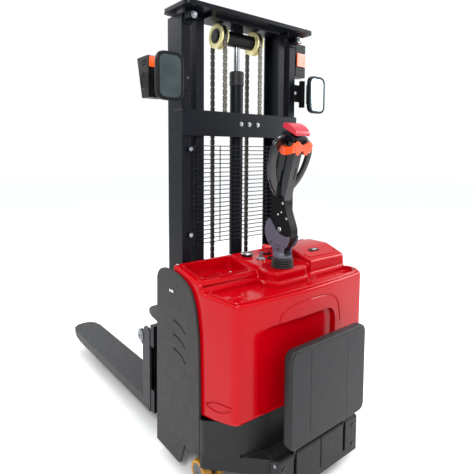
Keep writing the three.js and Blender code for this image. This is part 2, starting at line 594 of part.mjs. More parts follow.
// ---------- tiller ----------
// Outlines here are (y, z) from the tilt pin, or from the waist for the head.
function tillerYoke() {
  const { footDrop, footTop, armHalf, yokeHalf, pin } = TILLER;
  const crescent = [
    [66, 110], [83, 84], [88, 56], [77, 15], [47, -15], [6, -26], [-35, -15], [-65, 15], [-76, 49],
    [-68, 43], [-44, 40], [-4, 48], [36, 84], [54, 106],
  ].reverse();
  const cheeks = SIDES.flatMap(([, s]) => [
    prism(crescent, 'x', s * (armHalf + GAP), s * yokeHalf),
    box(s * (armHalf + GAP), s * yokeHalf, -30, 34, -footTop - 1, 0),
  ]);
  const foot = rod('z', [0, 0], 44, -footDrop, -footTop, 28);
  const bore = rod('x', [0, 0], pin + GAP, -yokeHalf - 5, yokeHalf + 5);
  return cut(join(foot, ...cheeks), bore);
}

function tillerArm() {
  const { armHalf, yokeHalf, pin } = TILLER;
  const body = prism([
    [34, -12], [70, 40], [72, 80], [62, 112], [52, 152], [49.6, 217.2], [-30.5, 195.2], [-34, 170],
    [-50, 120], [-64, 85], [-72, 50], [-34, -12],
  ], 'x', -armHalf, armHalf);
  const eye = rod('x', [0, 0], 36, -armHalf, armHalf, 28);
  return join(body, eye, rod('x', [0, 0], pin, -yokeHalf - 2, yokeHalf + 2));
}

function tillerHead() {
  const { hubHalf, crownHalf, crownBottom, shaftY, shaftZ, gripRadius } = HEAD;
  const hub = prism([
    [-22, GAP], [22, GAP], [hubHalf - 4, 90], [hubHalf, 150], [hubHalf, crownBottom + 5],
    [-hubHalf, crownBottom + 5], [-hubHalf, 150], [-hubHalf + 4, 90],
  ], 'y', -40, 38);
  const crown = cut(prism(roundedRectangle(-crownHalf, crownHalf, -44, 42, 14), 'z', crownBottom, 306),
    prism([[60, 307], [-60, 281], [-60, 330], [60, 330]].reverse(), 'x', -60, 60));
  const loops = SIDES.map(([, s]) => tube([
    [s * 34, 4, 270], [s * 72, 3, 268], [s * 100, 2, 252], [s * 114, 0, 212], [s * 110, 0, 160],
    [s * 90, 0, 104], [s * 56, 0, 56], [s * 16, 0, 26],
  ], gripRadius, 14, 8));
  const bore = rod('x', [shaftY, shaftZ], 6 + GAP, -40, 40, 16);
  const buttonRoom = box(-18, 18, -16, 16, 268, 320);
  return cut(join(hub, crown, ...loops), bore, buttonRoom);
}

function throttleButterfly() {
  const { hubHalf, shaftY, shaftZ } = HEAD;
  const shaft = rod('x', [shaftY, shaftZ], 6, -46, 46, 16);
  const wings = SIDES.map(([, s]) => prism(
    [[34, 250], [38, 238], [24, 222], [2, 214], [-12, 226], [-6, 240], [10, 246]].reverse(),
    'x', s * (hubHalf + 2), s * 58));
  const links = SIDES.map(([, s]) => box(s * (hubHalf + 2), s * (hubHalf + 7), -57, -5, 229, 239));
  const saddle = prism([
    [-28, 252], [-43, 244], [-43, 228], [-22, 210], [0, 226], [22, 210], [43, 228], [43, 244], [28, 252], [0, 238],
  ], 'y', -58, -52);
  return join(shaft, ...wings, ...links, saddle);
}

function addTiller() {
  const { pivotZ, footDrop, waistY, waistZ, lean } = TILLER;
  const neck = join(rod('z', [0, 0], 16, DRIVE.motorTop + GAP, 930),
    rod('z', [0, 0], 35, 925, pivotZ - footDrop - GAP));
  add('tiller_neck', neck, BLACK_PLASTIC, truck, [0, STEER_Y, 0]);
  const ribs = [[36, 0], [50, 0], [51, 8], [47, 12], [50, 17], [46, 22], [49, 27], [45, 32], [47, 38], [42, 44]];
  add('tiller_bellows', turned([...ribs, [36, 44], [36, 0]], 'z', 28), BLACK_PLASTIC, truck,
    [0, STEER_Y, 911 + GAP]);
  add('tiller_yoke', tillerYoke(), YOKE_GREY, truck, [0, STEER_Y, pivotZ]);

  const lever = new THREE.Group();
  lever.position.set(0, STEER_Y, pivotZ);
  truck.add(lever);
  add('tiller_arm', tillerArm(), BLACK_PLASTIC, lever);
  const head = new THREE.Group();
  head.position.set(0, waistY, waistZ);
  head.rotation.x = lean;
  lever.add(head);
  add('tiller_head', tillerHead(), BLACK_PLASTIC, head);
  add('throttle_butterfly', throttleButterfly(), SIGNAL_ORANGE, head);
  const cap = prism([
    [-44, 294], [-46, 302], [-36, 317], [-12, 331], [16, 338], [36, 334], [45, 322], [42, 313],
  ], 'x', -43, 43);
  add('belly_button', join(cap, box(-15, 15, -13, 13, 280, 306)), BUTTON_RED, head);
}

addChassis();
addConsoleControls();
addMast();
addCarriage();
addWheels();
addPlatform();
addFittings();
addTiller();
truck.position.y = -MIDDLE_Y;

export default truck;
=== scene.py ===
# Walkie stacker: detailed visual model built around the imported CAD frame.
# Shapes are written in millimetres with the mast's rear face at y = 0, then moved into the frame.
import json
import math

import bmesh
import bpy
from mathutils import Matrix, Vector


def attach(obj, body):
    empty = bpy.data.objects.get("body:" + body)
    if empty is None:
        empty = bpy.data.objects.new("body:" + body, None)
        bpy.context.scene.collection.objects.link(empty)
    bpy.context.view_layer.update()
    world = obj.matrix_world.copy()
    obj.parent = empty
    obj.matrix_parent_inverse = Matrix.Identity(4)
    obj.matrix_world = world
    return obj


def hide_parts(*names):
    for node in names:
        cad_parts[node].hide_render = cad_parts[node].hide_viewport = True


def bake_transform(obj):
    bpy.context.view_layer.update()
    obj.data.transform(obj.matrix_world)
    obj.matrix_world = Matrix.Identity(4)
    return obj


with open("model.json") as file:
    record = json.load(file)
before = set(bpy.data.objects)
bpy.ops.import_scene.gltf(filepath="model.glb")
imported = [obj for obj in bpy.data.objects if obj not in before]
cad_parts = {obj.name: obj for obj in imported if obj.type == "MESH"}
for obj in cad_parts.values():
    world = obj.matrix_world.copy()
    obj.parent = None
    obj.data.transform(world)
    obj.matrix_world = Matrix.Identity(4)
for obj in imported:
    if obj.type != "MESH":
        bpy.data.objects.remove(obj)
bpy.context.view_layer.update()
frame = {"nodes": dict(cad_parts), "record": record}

MM = 0.001
MIDDLE_Y = 458.5  # the frame's y = 0 lies this far ahead of the mast's rear face
SIDES = (("left", -1), ("right", 1))
BODY = {n: b for b, names in frame["record"]["behaviour"]["bodies"].items() for n in names}

# Places that several pieces share. PIN is at the tiller's tilt pin, LEAN at the foot of its head.
STEER_Y = -276  # the tiller and the drive wheel turn about the upright line through here
PIN = Matrix.Translation((0, STEER_Y, 1018))
LEAN = PIN @ Matrix.Translation((0, 11, 207)) @ Matrix.Rotation(math.radians(15.4), 4, "X")
GAUGE, KEY, STOP = (-25, -60), (-3, -136), (84, -79)  # (x, y) of the fittings on the console
HINGE = (-496, 205)  # (y, z) of the platform's pin
ARM_X = 159  # the platform's arms lie this far to each side
STOP_X = 329  # and the stop bolts at the mast's top this far
AXLE = (60, 1980)  # (y, z) of the chain pulleys' axle
CHAIN_X = 112
CHAIN_PITCH = 15.9
SHAFT = (362, 473)  # (y, z) of the shaft that the forks slide on

BARE_METAL = "8a8c90"
DUST = "9a948a"
FLAT_DEGREES = 0.6  # faces closer than this to one plane are merged


# ---------- materials ----------
def node(tree, kind, **values):
    made = tree.nodes.new(kind)
    for key, value in values.items():
        if key in made.inputs:
            made.inputs[key].default_value = value
        else:
            setattr(made, key, value)
    return made


def noise(tree, where, scale, detail=4.0):
    made = node(tree, "ShaderNodeTexNoise", Scale=scale, Detail=detail, Roughness=0.55)
    tree.links.new(where, made.inputs["Vector"])
    return made.outputs["Fac"]


def ramp(tree, fac, stops):
    made = node(tree, "ShaderNodeValToRGB")
    while len(made.color_ramp.elements) < len(stops):
        made.color_ramp.elements.new(0.5)
    for element, (place, colour) in zip(made.color_ramp.elements, stops):
        element.position = place
        element.color = (*colour, 1) if isinstance(colour, tuple) else (colour, colour, colour, 1)
    tree.links.new(fac, made.inputs["Fac"])
    return made.outputs["Color"]


def mix(tree, fac, a, b, blend="MIX"):
    made = tree.nodes.new("ShaderNodeMix")
    made.data_type = "RGBA"
    made.blend_type = blend
    for socket, value in ((made.inputs[0], fac), (made.inputs[6], a), (made.inputs[7], b)):
        if isinstance(value, bpy.types.NodeSocket):
            tree.links.new(value, socket)
        else:
            socket.default_value = (*value, 1) if isinstance(value, tuple) else value
    return made.outputs[2]


def linear(hex_colour):
    channels = [int(hex_colour[i:i + 2], 16) / 255 for i in (0, 2, 4)]
    return tuple(c / 12.92 if c <= 0.04045 else ((c + 0.055) / 1.055) ** 2.4 for c in channels)


def finish(name, colour, roughness, metallic=0.0, coat=0.0, grain=900, bump=0.08, vary=0.05, wear=0.0,
           dust=0.0, stretch=(1, 1, 1), specular=0.5):
    """A painted, moulded or metal surface: colour drift, grain, uneven gloss, worn edges and dust."""
    material = bpy.data.materials.new(name)
    material.use_nodes = True
    tree = material.node_tree
    link = tree.links.new
    shader = tree.nodes["Principled BSDF"]
    place = node(tree, "ShaderNodeTexCoord")
    scaled = node(tree, "ShaderNodeMapping")
    scaled.inputs["Scale"].default_value = stretch
    link(place.outputs["Object"], scaled.inputs["Vector"])
    where = scaled.outputs["Vector"]
    base = linear(colour)
    drift = ramp(tree, noise(tree, where, 5.0, 3.0), [(0.3, tuple(c * (1 - vary) for c in base)),
        (0.7, tuple(min(1, c * (1 + vary)) for c in base))])
    speckle = ramp(tree, noise(tree, where, grain * 0.35, 5.0), [(0.35, 1 - vary * 0.6), (0.65, 1)])
    surface = mix(tree, 0.8, drift, speckle, "MULTIPLY")
    if wear:
        rounded_edge = node(tree, "ShaderNodeBevel", samples=4, Radius=0.0025)
        flat = node(tree, "ShaderNodeNewGeometry")
        facing = node(tree, "ShaderNodeVectorMath", operation="DOT_PRODUCT")
        link(rounded_edge.outputs["Normal"], facing.inputs[0])
        link(flat.outputs["Normal"], facing.inputs[1])
        edge = ramp(tree, facing.outputs["Value"], [(0.9, 1), (0.985, 0)])
        chips = ramp(tree, noise(tree, where, 60.0, 6.0), [(0.52, 0), (0.6, 1)])
        worn = mix(tree, 1.0, edge, chips, "MULTIPLY")
        amount = mix(tree, 1.0, worn, (wear,) * 3, "MULTIPLY")
        surface = mix(tree, amount, surface, linear(BARE_METAL))
    if dust:
        up = node(tree, "ShaderNodeNewGeometry")
        split = node(tree, "ShaderNodeSeparateXYZ")
        link(up.outputs["Normal"], split.inputs["Vector"])
        settled = ramp(tree, split.outputs["Z"], [(0.6, 0), (1.0, dust)])
        cloud = ramp(tree, noise(tree, where, 25.0, 6.0), [(0.4, 0.2), (0.7, 1)])
        amount = mix(tree, 1.0, settled, cloud, "MULTIPLY")
        surface = mix(tree, amount, surface, linear(DUST))
    link(surface, shader.inputs["Base Color"])
    gloss = ramp(tree, noise(tree, where, 32.0, 5.0), [(0.3, max(0.02, roughness * 0.9)),
        (0.7, min(1, roughness * 1.1))])
    link(gloss, shader.inputs["Roughness"])
    relief = node(tree, "ShaderNodeBump", Strength=bump, Distance=0.0006)
    link(noise(tree, where, grain, 3.0), relief.inputs["Height"])
    link(relief.outputs["Normal"], shader.inputs["Normal"])
    shader.inputs["Metallic"].default_value = metallic
    shader.inputs["Coat Weight"].default_value = coat
    shader.inputs["Coat Roughness"].default_value = 0.06
    shader.inputs["Specular IOR Level"].default_value = specular
    return material


RED = finish("hood_red", "a9000c", 0.14, coat=0.13, bump=0.003, vary=0.03, specular=0.1)
MAST = finish("mast_black", "0a0d14", 0.36, grain=1100, bump=0.06, vary=0.1, wear=0.25, dust=0.02,
    specular=0.14)
PANEL = finish("panel_grey", "2d2b2a", 0.55, grain=1500, vary=0.015, wear=0.1, dust=0.03, specular=0.25)
DARK = finish("frame_dark", "18181a", 0.48, grain=1500, vary=0.06, wear=0.2, dust=0.03, specular=0.28)
FORK_PAINT = finish("fork_grey", "242527", 0.44, bump=0.1, vary=0.04, wear=0.6, dust=0.02, specular=0.25)
BLACK = finish("black_plastic", "0a0b0d", 0.4, grain=2200, vary=0.08, specular=0.17)
GLOSS_BLACK = finish("gloss_black", "0d0f12", 0.14, coat=0.3, bump=0.005, specular=0.4)
YOKE = finish("yoke_grey", "4f4d5c", 0.42, grain=1500, bump=0.1, vary=0.06, wear=0.15)
ZINC = finish("zinc_bolt", "b9bcc2", 0.28, metallic=1.0, grain=800, bump=0.05, vary=0.1)
STEEL = finish("bright_steel", "8f9298", 0.32, metallic=1.0, grain=600, vary=0.15)
CHROME = finish("chrome_rod", "85888d", 0.12, metallic=1.0, grain=500, bump=0.01, vary=0.03,
    stretch=(1, 1, 0.05))
CHAIN_STEEL = finish("chain_steel", "7a776e", 0.38, metallic=0.9, bump=0.1, vary=0.3)
# A darker copy of the chain steel, for the chain's runs inside the mast and over the pulleys: painted shade.
SHADED_CHAIN_STEEL = finish("chain_steel_painted_shade", "4a4742", 0.35, metallic=0.8, bump=0.12, vary=0.3)
PASSIVATED = finish("yellow_zinc", "e2d9a0", 0.32, metallic=0.35, grain=700, bump=0.04, vary=0.1)
ORANGE = finish("orange_plastic", "e8501c", 0.26, coat=0.3, bump=0.02)
LENS = finish("lens_orange", "f25a12", 0.22, coat=0.6, grain=260, bump=0.25, vary=0.06)
BUTTON = finish("button_red", "b3122c", 0.28, coat=0.2, bump=0.02)
STOP_RED = finish("stop_red", "c01420", 0.25, coat=0.35, bump=0.02)
TREAD = finish("black_tread", "161617", 0.6, grain=600, bump=0.3, vary=0.18, dust=0.03, specular=0.2)
AMBER = finish("amber_tread", "b9831f", 0.42, grain=500, bump=0.1, vary=0.15)
HUB = finish("wheel_hub", "6c6d70", 0.42, metallic=0.7, grain=700, vary=0.15)
GLASS = finish("mirror_glass", "6b7d84", 0.03, metallic=1.0, grain=60, bump=0.0, vary=0.04)
# A darker, blotchier copy of the mirror glass, used for the left mirror only: a painted dark reflection.
PAINTED_DARK_GLASS = finish("mirror_glass_painted_dark", "525c5e", 0.04, metallic=1.0, grain=60, bump=0.0, vary=0.3)
RUBBER = finish("platform_rubber", "1c1d1f", 0.42, grain=1800, vary=0.04, dust=0.02, specular=0.25)
BELLOWS = finish("bellows_rubber", "1a1b1d", 0.5, grain=1500, bump=0.2, vary=0.12)
DIAL = finish("dial_face", "d2d6cc", 0.35, coat=0.4, bump=0.02)


# ---------- solids, as (points, faces) in millimetres ----------
def prism(outline, axis, low, high):
    """A straight solid. Outline points are (y, z) for axis x, (x, z) for axis y, (x, y) for axis z."""
    place = {"x": lambda u, v, w: (w, u, v), "y": lambda u, v, w: (u, w, v), "z": lambda u, v,
        w: (u, v, w)}[axis]
    count = len(outline)
    points = [place(u, v, w) for w in (low, high) for u, v in outline]
    faces = [list(range(count)), list(range(count, 2 * count))]
    faces += [[i, (i + 1) % count, (i + 1) % count + count, i + count] for i in range(count)]
    return points, faces


def block(x0, x1, y0, y1, z0, z1):
    return prism([(x0, y0), (x1, y0), (x1, y1), (x0, y1)], "z", z0, z1)


def round_corners(outline, radius, steps=5):
    """Replaces each corner of a closed outline by an arc. radius is one number or one per corner."""
    count = len(outline)
    radii = radius if isinstance(radius, (list, tuple)) else [radius] * count
    made = []
    for i, corner in enumerate(outline):
        here = Vector(corner)
        before = Vector(outline[i - 1]) - here
        after = Vector(outline[(i + 1) % count]) - here
        reach = min(radii[i], 0.49 * before.length, 0.49 * after.length)
        if reach < 0.01:
            made.append(tuple(here))
            continue
        start = here + before.normalized() * reach
        end = here + after.normalized() * reach
        for step in range(steps + 1):
            t = step / steps
            made.append(tuple((1 - t) ** 2 * start + 2 * t * (1 - t) * here + t * t * end))
    return made


def span(s, near, far):
    """Two distances from the middle, on side s, in rising order."""
    return sorted((s * near, s * far))


def mirrored(half):
    """An outline from its left half; a point at x = 0 is not doubled."""
    return [*half, *[(-x, y) for x, y in reversed(half) if x]]


def rectangle(u0, u1, v0, v1, radius=0, steps=5):
    corners = [(u0, v0), (u1, v0), (u1, v1), (u0, v1)]
    return round_corners(corners, radius, steps) if radius else corners


def turned(profile, axis, centre, steps=48):
    """A turned solid. Profile points are (radius, distance along the axis) from one end to the other."""
    place = {"x": lambda r, h, c, s: (centre[0] + h, centre[1] + r * c, centre[2] + r * s), "y": lambda r, h,
        c, s: (centre[0] + r * c, centre[1] + h, centre[2] + r * s), "z": lambda r, h, c,
        s: (centre[0] + r * c, centre[1] + r * s, centre[2] + h),}[axis]
    closed = profile[0] == profile[-1]
    rings = profile[:-1] if closed else profile
    points, loops, faces = [], [], []
    for radius, height in rings:
        if radius < 1e-6:
            loops.append([len(points)])
            points.append(place(0, height, 1, 0))
            continue
        loops.append(list(range(len(points), len(points) + steps)))
        for i in range(steps):
            angle = 2 * math.pi * i / steps
            points.append(place(radius, height, math.cos(angle), math.sin(angle)))
    pairs = list(zip(loops, loops[1:])) + ([(loops[-1], loops[0])] if closed else [])
    for a, b in pairs:
        for i in range(steps):
            j = (i + 1) % steps
            if len(a) == 1 and len(b) > 1:
                faces.append([a[0], b[i], b[j]])
            elif len(b) == 1 and len(a) > 1:
                faces.append([a[i], a[j], b[0]])
            elif len(a) > 1:
                faces.append([a[i], a[j], b[j], b[i]])
    if not closed:
        faces += [list(loop) for loop in (loops[0], loops[-1]) if len(loop) > 1]
    return points, faces


def rod(axis, centre, radius, low, high, steps=40, soft=0.0):
    """A round bar. centre has the two coordinates across the axis; soft rounds both ends."""
    full = {"x": (0, *centre), "y": (centre[0], 0, centre[1]), "z": (*centre, 0)}[axis]
    low, high = min(low, high), max(low, high)
    if not soft:
        return turned([(radius, low), (radius, high)], axis, full, steps)
    ends = [(radius - soft + soft * math.sin(a), low + soft - soft * math.cos(a))
        for a in (0, math.pi / 6, math.pi / 3, math.pi / 2)]
    others = [(r, low + high - h) for r, h in reversed(ends)]
    return turned(ends + others, axis, full, steps)


def sweep(path, section, closed=False, up=(0, 0, 1)):
    """A section of (u, v) points carried along a path. v points along up where it can."""
    path = [Vector(p) for p in path]
    count, size = len(path), len(section)
    points, faces = [], []
    for i, here in enumerate(path):
        if closed:
            along = path[(i + 1) % count] - path[i - 1]
        else:
            along = path[min(i + 1, count - 1)] - path[max(i - 1, 0)]
        along.normalize()
        side = along.cross(Vector(up)).normalized()
        rise = side.cross(along)
        points += [tuple(here + side * u + rise * v) for u, v in section]
    spans = count if closed else count - 1
    for i in range(spans):
        a, b = i * size, ((i + 1) % count) * size
        faces += [[a + k, a + (k + 1) % size, b + (k + 1) % size, b + k] for k in range(size)]
    if not closed:
        faces += [list(range(size)), list(range((count - 1) * size, count * size))]
    return points, faces


def circle(radius, steps=12, flatten=1.0):
    return [(radius * math.cos(2 * math.pi * i / steps), flatten * radius * math.sin(2 * math.pi * i / steps))
        for i in range(steps)]


def curve(points, steps=8):
    """A smooth line through the points."""
    points = [Vector(p) for p in points]
    made = []
    for i in range(len(points) - 1):
        a, b, c, d = (points[max(i - 1, 0)], points[i], points[i + 1], points[min(i + 2, len(points) - 1)])
        for step in range(steps):
            t = step / steps
            made.append(0.5 * ((2 * b) + (c - a) * t + (2 * a - 5 * b + 4 * c - d) * t * t
                + (3 * b - a - 3 * c + d) * t ** 3))
    return [tuple(p) for p in made + [points[-1]]]


def moved(solid, matrix):
    points, faces = solid
    return [tuple(matrix @ Vector(p)) for p in points], faces


def new_object(name, data):
    made = bpy.data.objects.new(name, data)
    bpy.context.collection.objects.link(made)
    return made


def mesh_object(name, solids, matrix=None):
    bm = bmesh.new()
    for points, faces in solids:
        verts = []
        for p in points:
            co = matrix @ Vector(p) if matrix else Vector(p)
            verts.append(bm.verts.new((co.x * MM, (co.y - MIDDLE_Y) * MM, co.z * MM)))
        for face in faces:
            try:
                bm.faces.new([verts[i] for i in face])
            except ValueError:
                pass
    bmesh.ops.remove_doubles(bm, verts=bm.verts, dist=1e-7)
    bmesh.ops.recalc_face_normals(bm, faces=bm.faces)
    mesh = bpy.data.meshes.new(name)
    bm.to_mesh(mesh)
    bm.free()
    return new_object(name, mesh)


def apply(made, kind, **settings):
    modifier = made.modifiers.new(kind.lower(), kind)
    for key, value in settings.items():
        setattr(modifier, key, value)
    bpy.context.view_layer.objects.active = made
    bpy.ops.object.modifier_apply(modifier=modifier.name)


def combine(made, solids, operation="DIFFERENCE", matrix=None):
    """Takes each solid away from the object, or joins it on."""
    for solid in solids:
        tool = mesh_object("tool", [solid], matrix)
        apply(made, "BOOLEAN", object=tool, operation=operation, solver="EXACT")
        bpy.data.objects.remove(tool)


def flatten(made):
    """Merges doubled points and faces that lie in one plane."""
    bm = bmesh.new()
    bm.from_mesh(made.data)
    bmesh.ops.remove_doubles(bm, verts=bm.verts, dist=1e-6)
    bmesh.ops.dissolve_limit(bm, angle_limit=math.radians(FLAT_DEGREES), verts=bm.verts, edges=bm.edges)
    bm.to_mesh(made.data)
    bm.free()


def soften(made, width, segments=3, degrees=28, clamp=True):
    """Rounds every edge sharper than the angle."""
    if width:
        apply(made, "BEVEL", width=width * MM, segments=segments, limit_method="ANGLE",
            angle_limit=math.radians(degrees), harden_normals=True, use_clamp_overlap=clamp)


def shade(made, degrees=35):
    for polygon in made.data.polygons:
        polygon.use_smooth = True
    made.data.set_sharp_from_angle(angle=math.radians(degrees))
    apply(made, "WEIGHTED_NORMAL", keep_sharp=True, weight=100)


def place(made, body, material, node_name=None, like=None):
    """Gives the piece its material and its body (or none, for a piece that is blended).

    node_name is the node it replaces, which is hidden. like is not used."""
    replaces = (node_name,) if node_name else ()
    made.data.materials.clear()
    made.data.materials.append(material)
    if body:
        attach(made, body)
    if replaces:
        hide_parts(*replaces)
    return made


def piece(name, solids, material, node_name=None, like=None, body="chassis", bevel=0.0, segments=3,
          degrees=28, cuts=(), late_cuts=(), joined=False, matrix=None, smooth=35):
    """Builds a finished piece. Late cuts come after the bevel, so their own edges stay sharp."""
    made = mesh_object(name, solids[:1] if joined else solids, matrix)
    if joined:
        combine(made, solids[1:], "UNION", matrix)
    combine(made, cuts, matrix=matrix)
    if joined or cuts:
        flatten(made)
    soften(made, bevel, segments, degrees)
    combine(made, late_cuts, matrix=matrix)
    shade(made, smooth)
    return place(made, body, material, node_name, like)


def refined(name, material, bevel, segments):
    """A copy of a CAD node with its flat faces merged and its edges rounded, which stands for the node."""
    made = new_object(name + "_detail", frame["nodes"][name].data.copy())
    flatten(made)
    soften(made, bevel, segments, 30)
    shade(made)
    place(made, BODY[name], material, name)


# ---------- hood ----------
HOOD_EDGE = [(10, 332), (-200, 332), (-300, 352), (-380, 372), (-440, 387), (-500, 392)]


def hood_plan(inset=0.0):
    """The hood's outline from above, drawn in by inset."""
    half = 412 - inset
    corners = mirrored([(-half, -4 - inset), (-half, -235), (-398 + inset, -395),
        (-388 + inset, -430 + inset), (-200, -446 + inset), (0, -455 + inset)])
    return round_corners(corners, [0, 30, 0, 125, 60, 120, 60, 125, 0, 30, 0], 6)


def hood_rear(x):
    """Where the hood's rear face lies at x."""
    return -455 + 9 * min(abs(x), 200) / 200 + 12 * max(0, abs(x) - 200) / 188


def bead(path, radius, flatten_by=1.0, up=(0, 0, 1), closed=False):
    return sweep(path, circle(radius, 10, flatten_by), closed, up)


def hood():
    shelf = prism([(0, 250), (0, 862), (-480, 858), (-480, 250)], "x", -412, 412)
    left_deck = prism([(0, 250), (-4, 932), (-214, 890), (-221, 845), (-221, 250)], "x", -412, -60)
    right_deck = prism([(0, 250), (-4, 934), (-86, 957), (-200, 957), (-312, 920), (-320, 845), (-320, 250)],
        "x", 141, 412)
    console = prism([(-90, 0), (-90, -212), (-112, -286), (-88, -334), (96, -336), (142, -308), (160, -300),
        (160, 0)], "z", 300, 990)
    top = prism([(0, 250), (-4, 932), (-60, 922), (-222, 911), (-338, 911), (-340, 250)], "x", -200, 200)
    made = mesh_object("hood_shell", [console])
    combine(made, [top], "INTERSECT")
    combine(made, [shelf, left_deck, right_deck], "UNION")
    combine(made, [prism(hood_plan(), "z", 280, 1000)], "INTERSECT")
    skirt = prism([(10, 200), *HOOD_EDGE, (-500, 200)], "x", -500, 500)
    knee = prism(round_corners([(-290, 395), (170, 395), (170, 745), (-290, 745)], [40, 40, 75, 75], 9), "y",
        -500, -432)
    knee_foot = block(-250, 130, -500, -440, 300, 400)
    tray = prism(rectangle(-375, -120, -176, -36, 26, 6), "z", 878, 1000)
    dish = prism(round_corners([(-386, -240), (-376, -404), (-340, -412), (-200, -423), (0, -432),
        (200, -423), (340, -412), (376, -404), (386, -338), (150, -338), (92, -356), (-98, -354),
        (-132, -290), (-110, -240)], 14, 4), "z", 848, 900)
    combine(made, [skirt])
    flatten(made)
    soften(made, 14, 5, 24, False)
    combine(made, [knee, knee_foot, tray, dish])
    soften(made, 5, 3, 34)
    # The inside is open from below.
    inside = mesh_object("inside", [prism(hood_plan(7), "z", 250, 838)])
    combine(inside, [prism(rectangle(-300, 180, 200, 755, 60, 5), "y", -500, -425)])
    apply(made, "BOOLEAN", object=inside, operation="DIFFERENCE", solver="EXACT")
    bpy.data.objects.remove(inside)
    arch = curve([(-186, 735), (-176, 775), (-130, 800), (-40, 812), (70, 808), (150, 790), (190, 745),
        (206, 665)], 8)
    grooves = [bead([(x, hood_rear(x) - 1, z) for x, z in arch], 5.5, 1, (0, 1, 0))]
    upper = curve([(-258, 408), (-300, 434), (-350, 446), (-412, 455)], 6)
    lower = curve([(-262, 404), (-300, 402), (-345, 410), (-400, 440)], 6)
    for line in (upper, lower):
        grooves.append(bead([(-411.5 + 14 * max(0, -235 - y) / 160, y, z) for y, z in line], 4.5, 1,
            (1, 0, 0)))
    for x0, x1, z0, z1 in ((-338, -333, 440, 530), (-338, -295, 530, 535), (-300, -295, 440, 530)):
        grooves.append(block(x0, x1, hood_rear(x0) - 6, hood_rear(x0) + 1.6, z0, z1))
    combine(made, grooves)
    bowl = turned([(0, -9), (32, -8.6), (42, -6), (46, -1), (47, 8), (0, 8)], "z", (0, 0, 0), 40)
    bowls = [moved(bowl, Matrix.Translation(at) @ Matrix.Diagonal((1, 0.62, 1, 1)))
        for at in ((-322, -340, 851), (352, -372, 851))]
    combine(made, bowls)
    holes = [rod("z", at, radius, 800, 1000) for at, radius in ((STOP, 11.6), (KEY, 12.6), (GAUGE, 25.6),
        ((0, STEER_Y), 36.5))]
    combine(made, holes)
    shade(made, 32)
    place(made, "chassis", RED, "hood_cover")


def deck_z(y):
    """Height of the rim on the right deck: level in the middle, lower at both ends."""
    return (959 if y > -200 else 959 - 34 * (-200 - y) / 100) - max(0, (y + 86) * 0.28)


def hood_details():
    rim = [(x, y, 932 - 38 * (-4 - y) / 192 + 1.5) for x, y in rectangle(-381, -114, -182, -30, 30, 6)]
    piece("tray_rim", [bead(rim, 3.4, 0.8, (0, 0, 1), True)], RED, like="hood_cover")
    right_rim = [(x, y, deck_z(y)) for x, y in round_corners([(168, -30), (168, -286), (386, -286),
        (386, -30)], 22, 5)]
    piece("deck_rim", [bead(right_rim, 2.6, 0.8, (0, 0, 1), True)], RED, like="hood_cover")
    rear = mirrored([(-383, -410), (-340, -421), (-200, -432), (0, -441)])
    lip = [(x, y, 861) for x, y in round_corners([(-394, -238), *rear, (396, -336)], 26, 6)]
    piece("shelf_lip", [bead(lip, 7, 0.6)], RED, like="hood_cover")
    slope = Matrix.Translation((258, -238, 945)) @ Matrix.Rotation(math.atan2(34, 100), 4, "X")
    piece("deck_latch", [prism(rectangle(-32, 32, -12, 12, 4), "z", -3, 2)], BLACK, bevel=0.8, matrix=slope)
    piece("deck_latch_tongue", [prism(rectangle(-12, 22, -5, 5, 2), "z", 1.5, 4.2)], ZINC, bevel=0.6,
        matrix=slope)
    screws = [turned([(0, 0), (7, 0), (7, 1.4), (5, 3.4), (0, 3.8)], "z", at, 24)
        for at in ((-250, -22, 930), (-395, -20, 930), (-100, -20, 930), (-330, -106, 877),
        (-166, -106, 877))]
    piece("hood_screws", screws, ZINC)
    clip = [block(-300, -216, -112, -102, 878, 884), block(-236, -226, -150, -66, 878, 883)]
    piece("tray_clips", clip, RED, bevel=1.5, like="hood_cover")


def on_dial(solid, degrees):
    """Turns a mark about the middle of the gauge."""
    return moved(solid, Matrix.Translation((*GAUGE, 0)) @ Matrix.Rotation(math.radians(degrees), 4, "Z"))


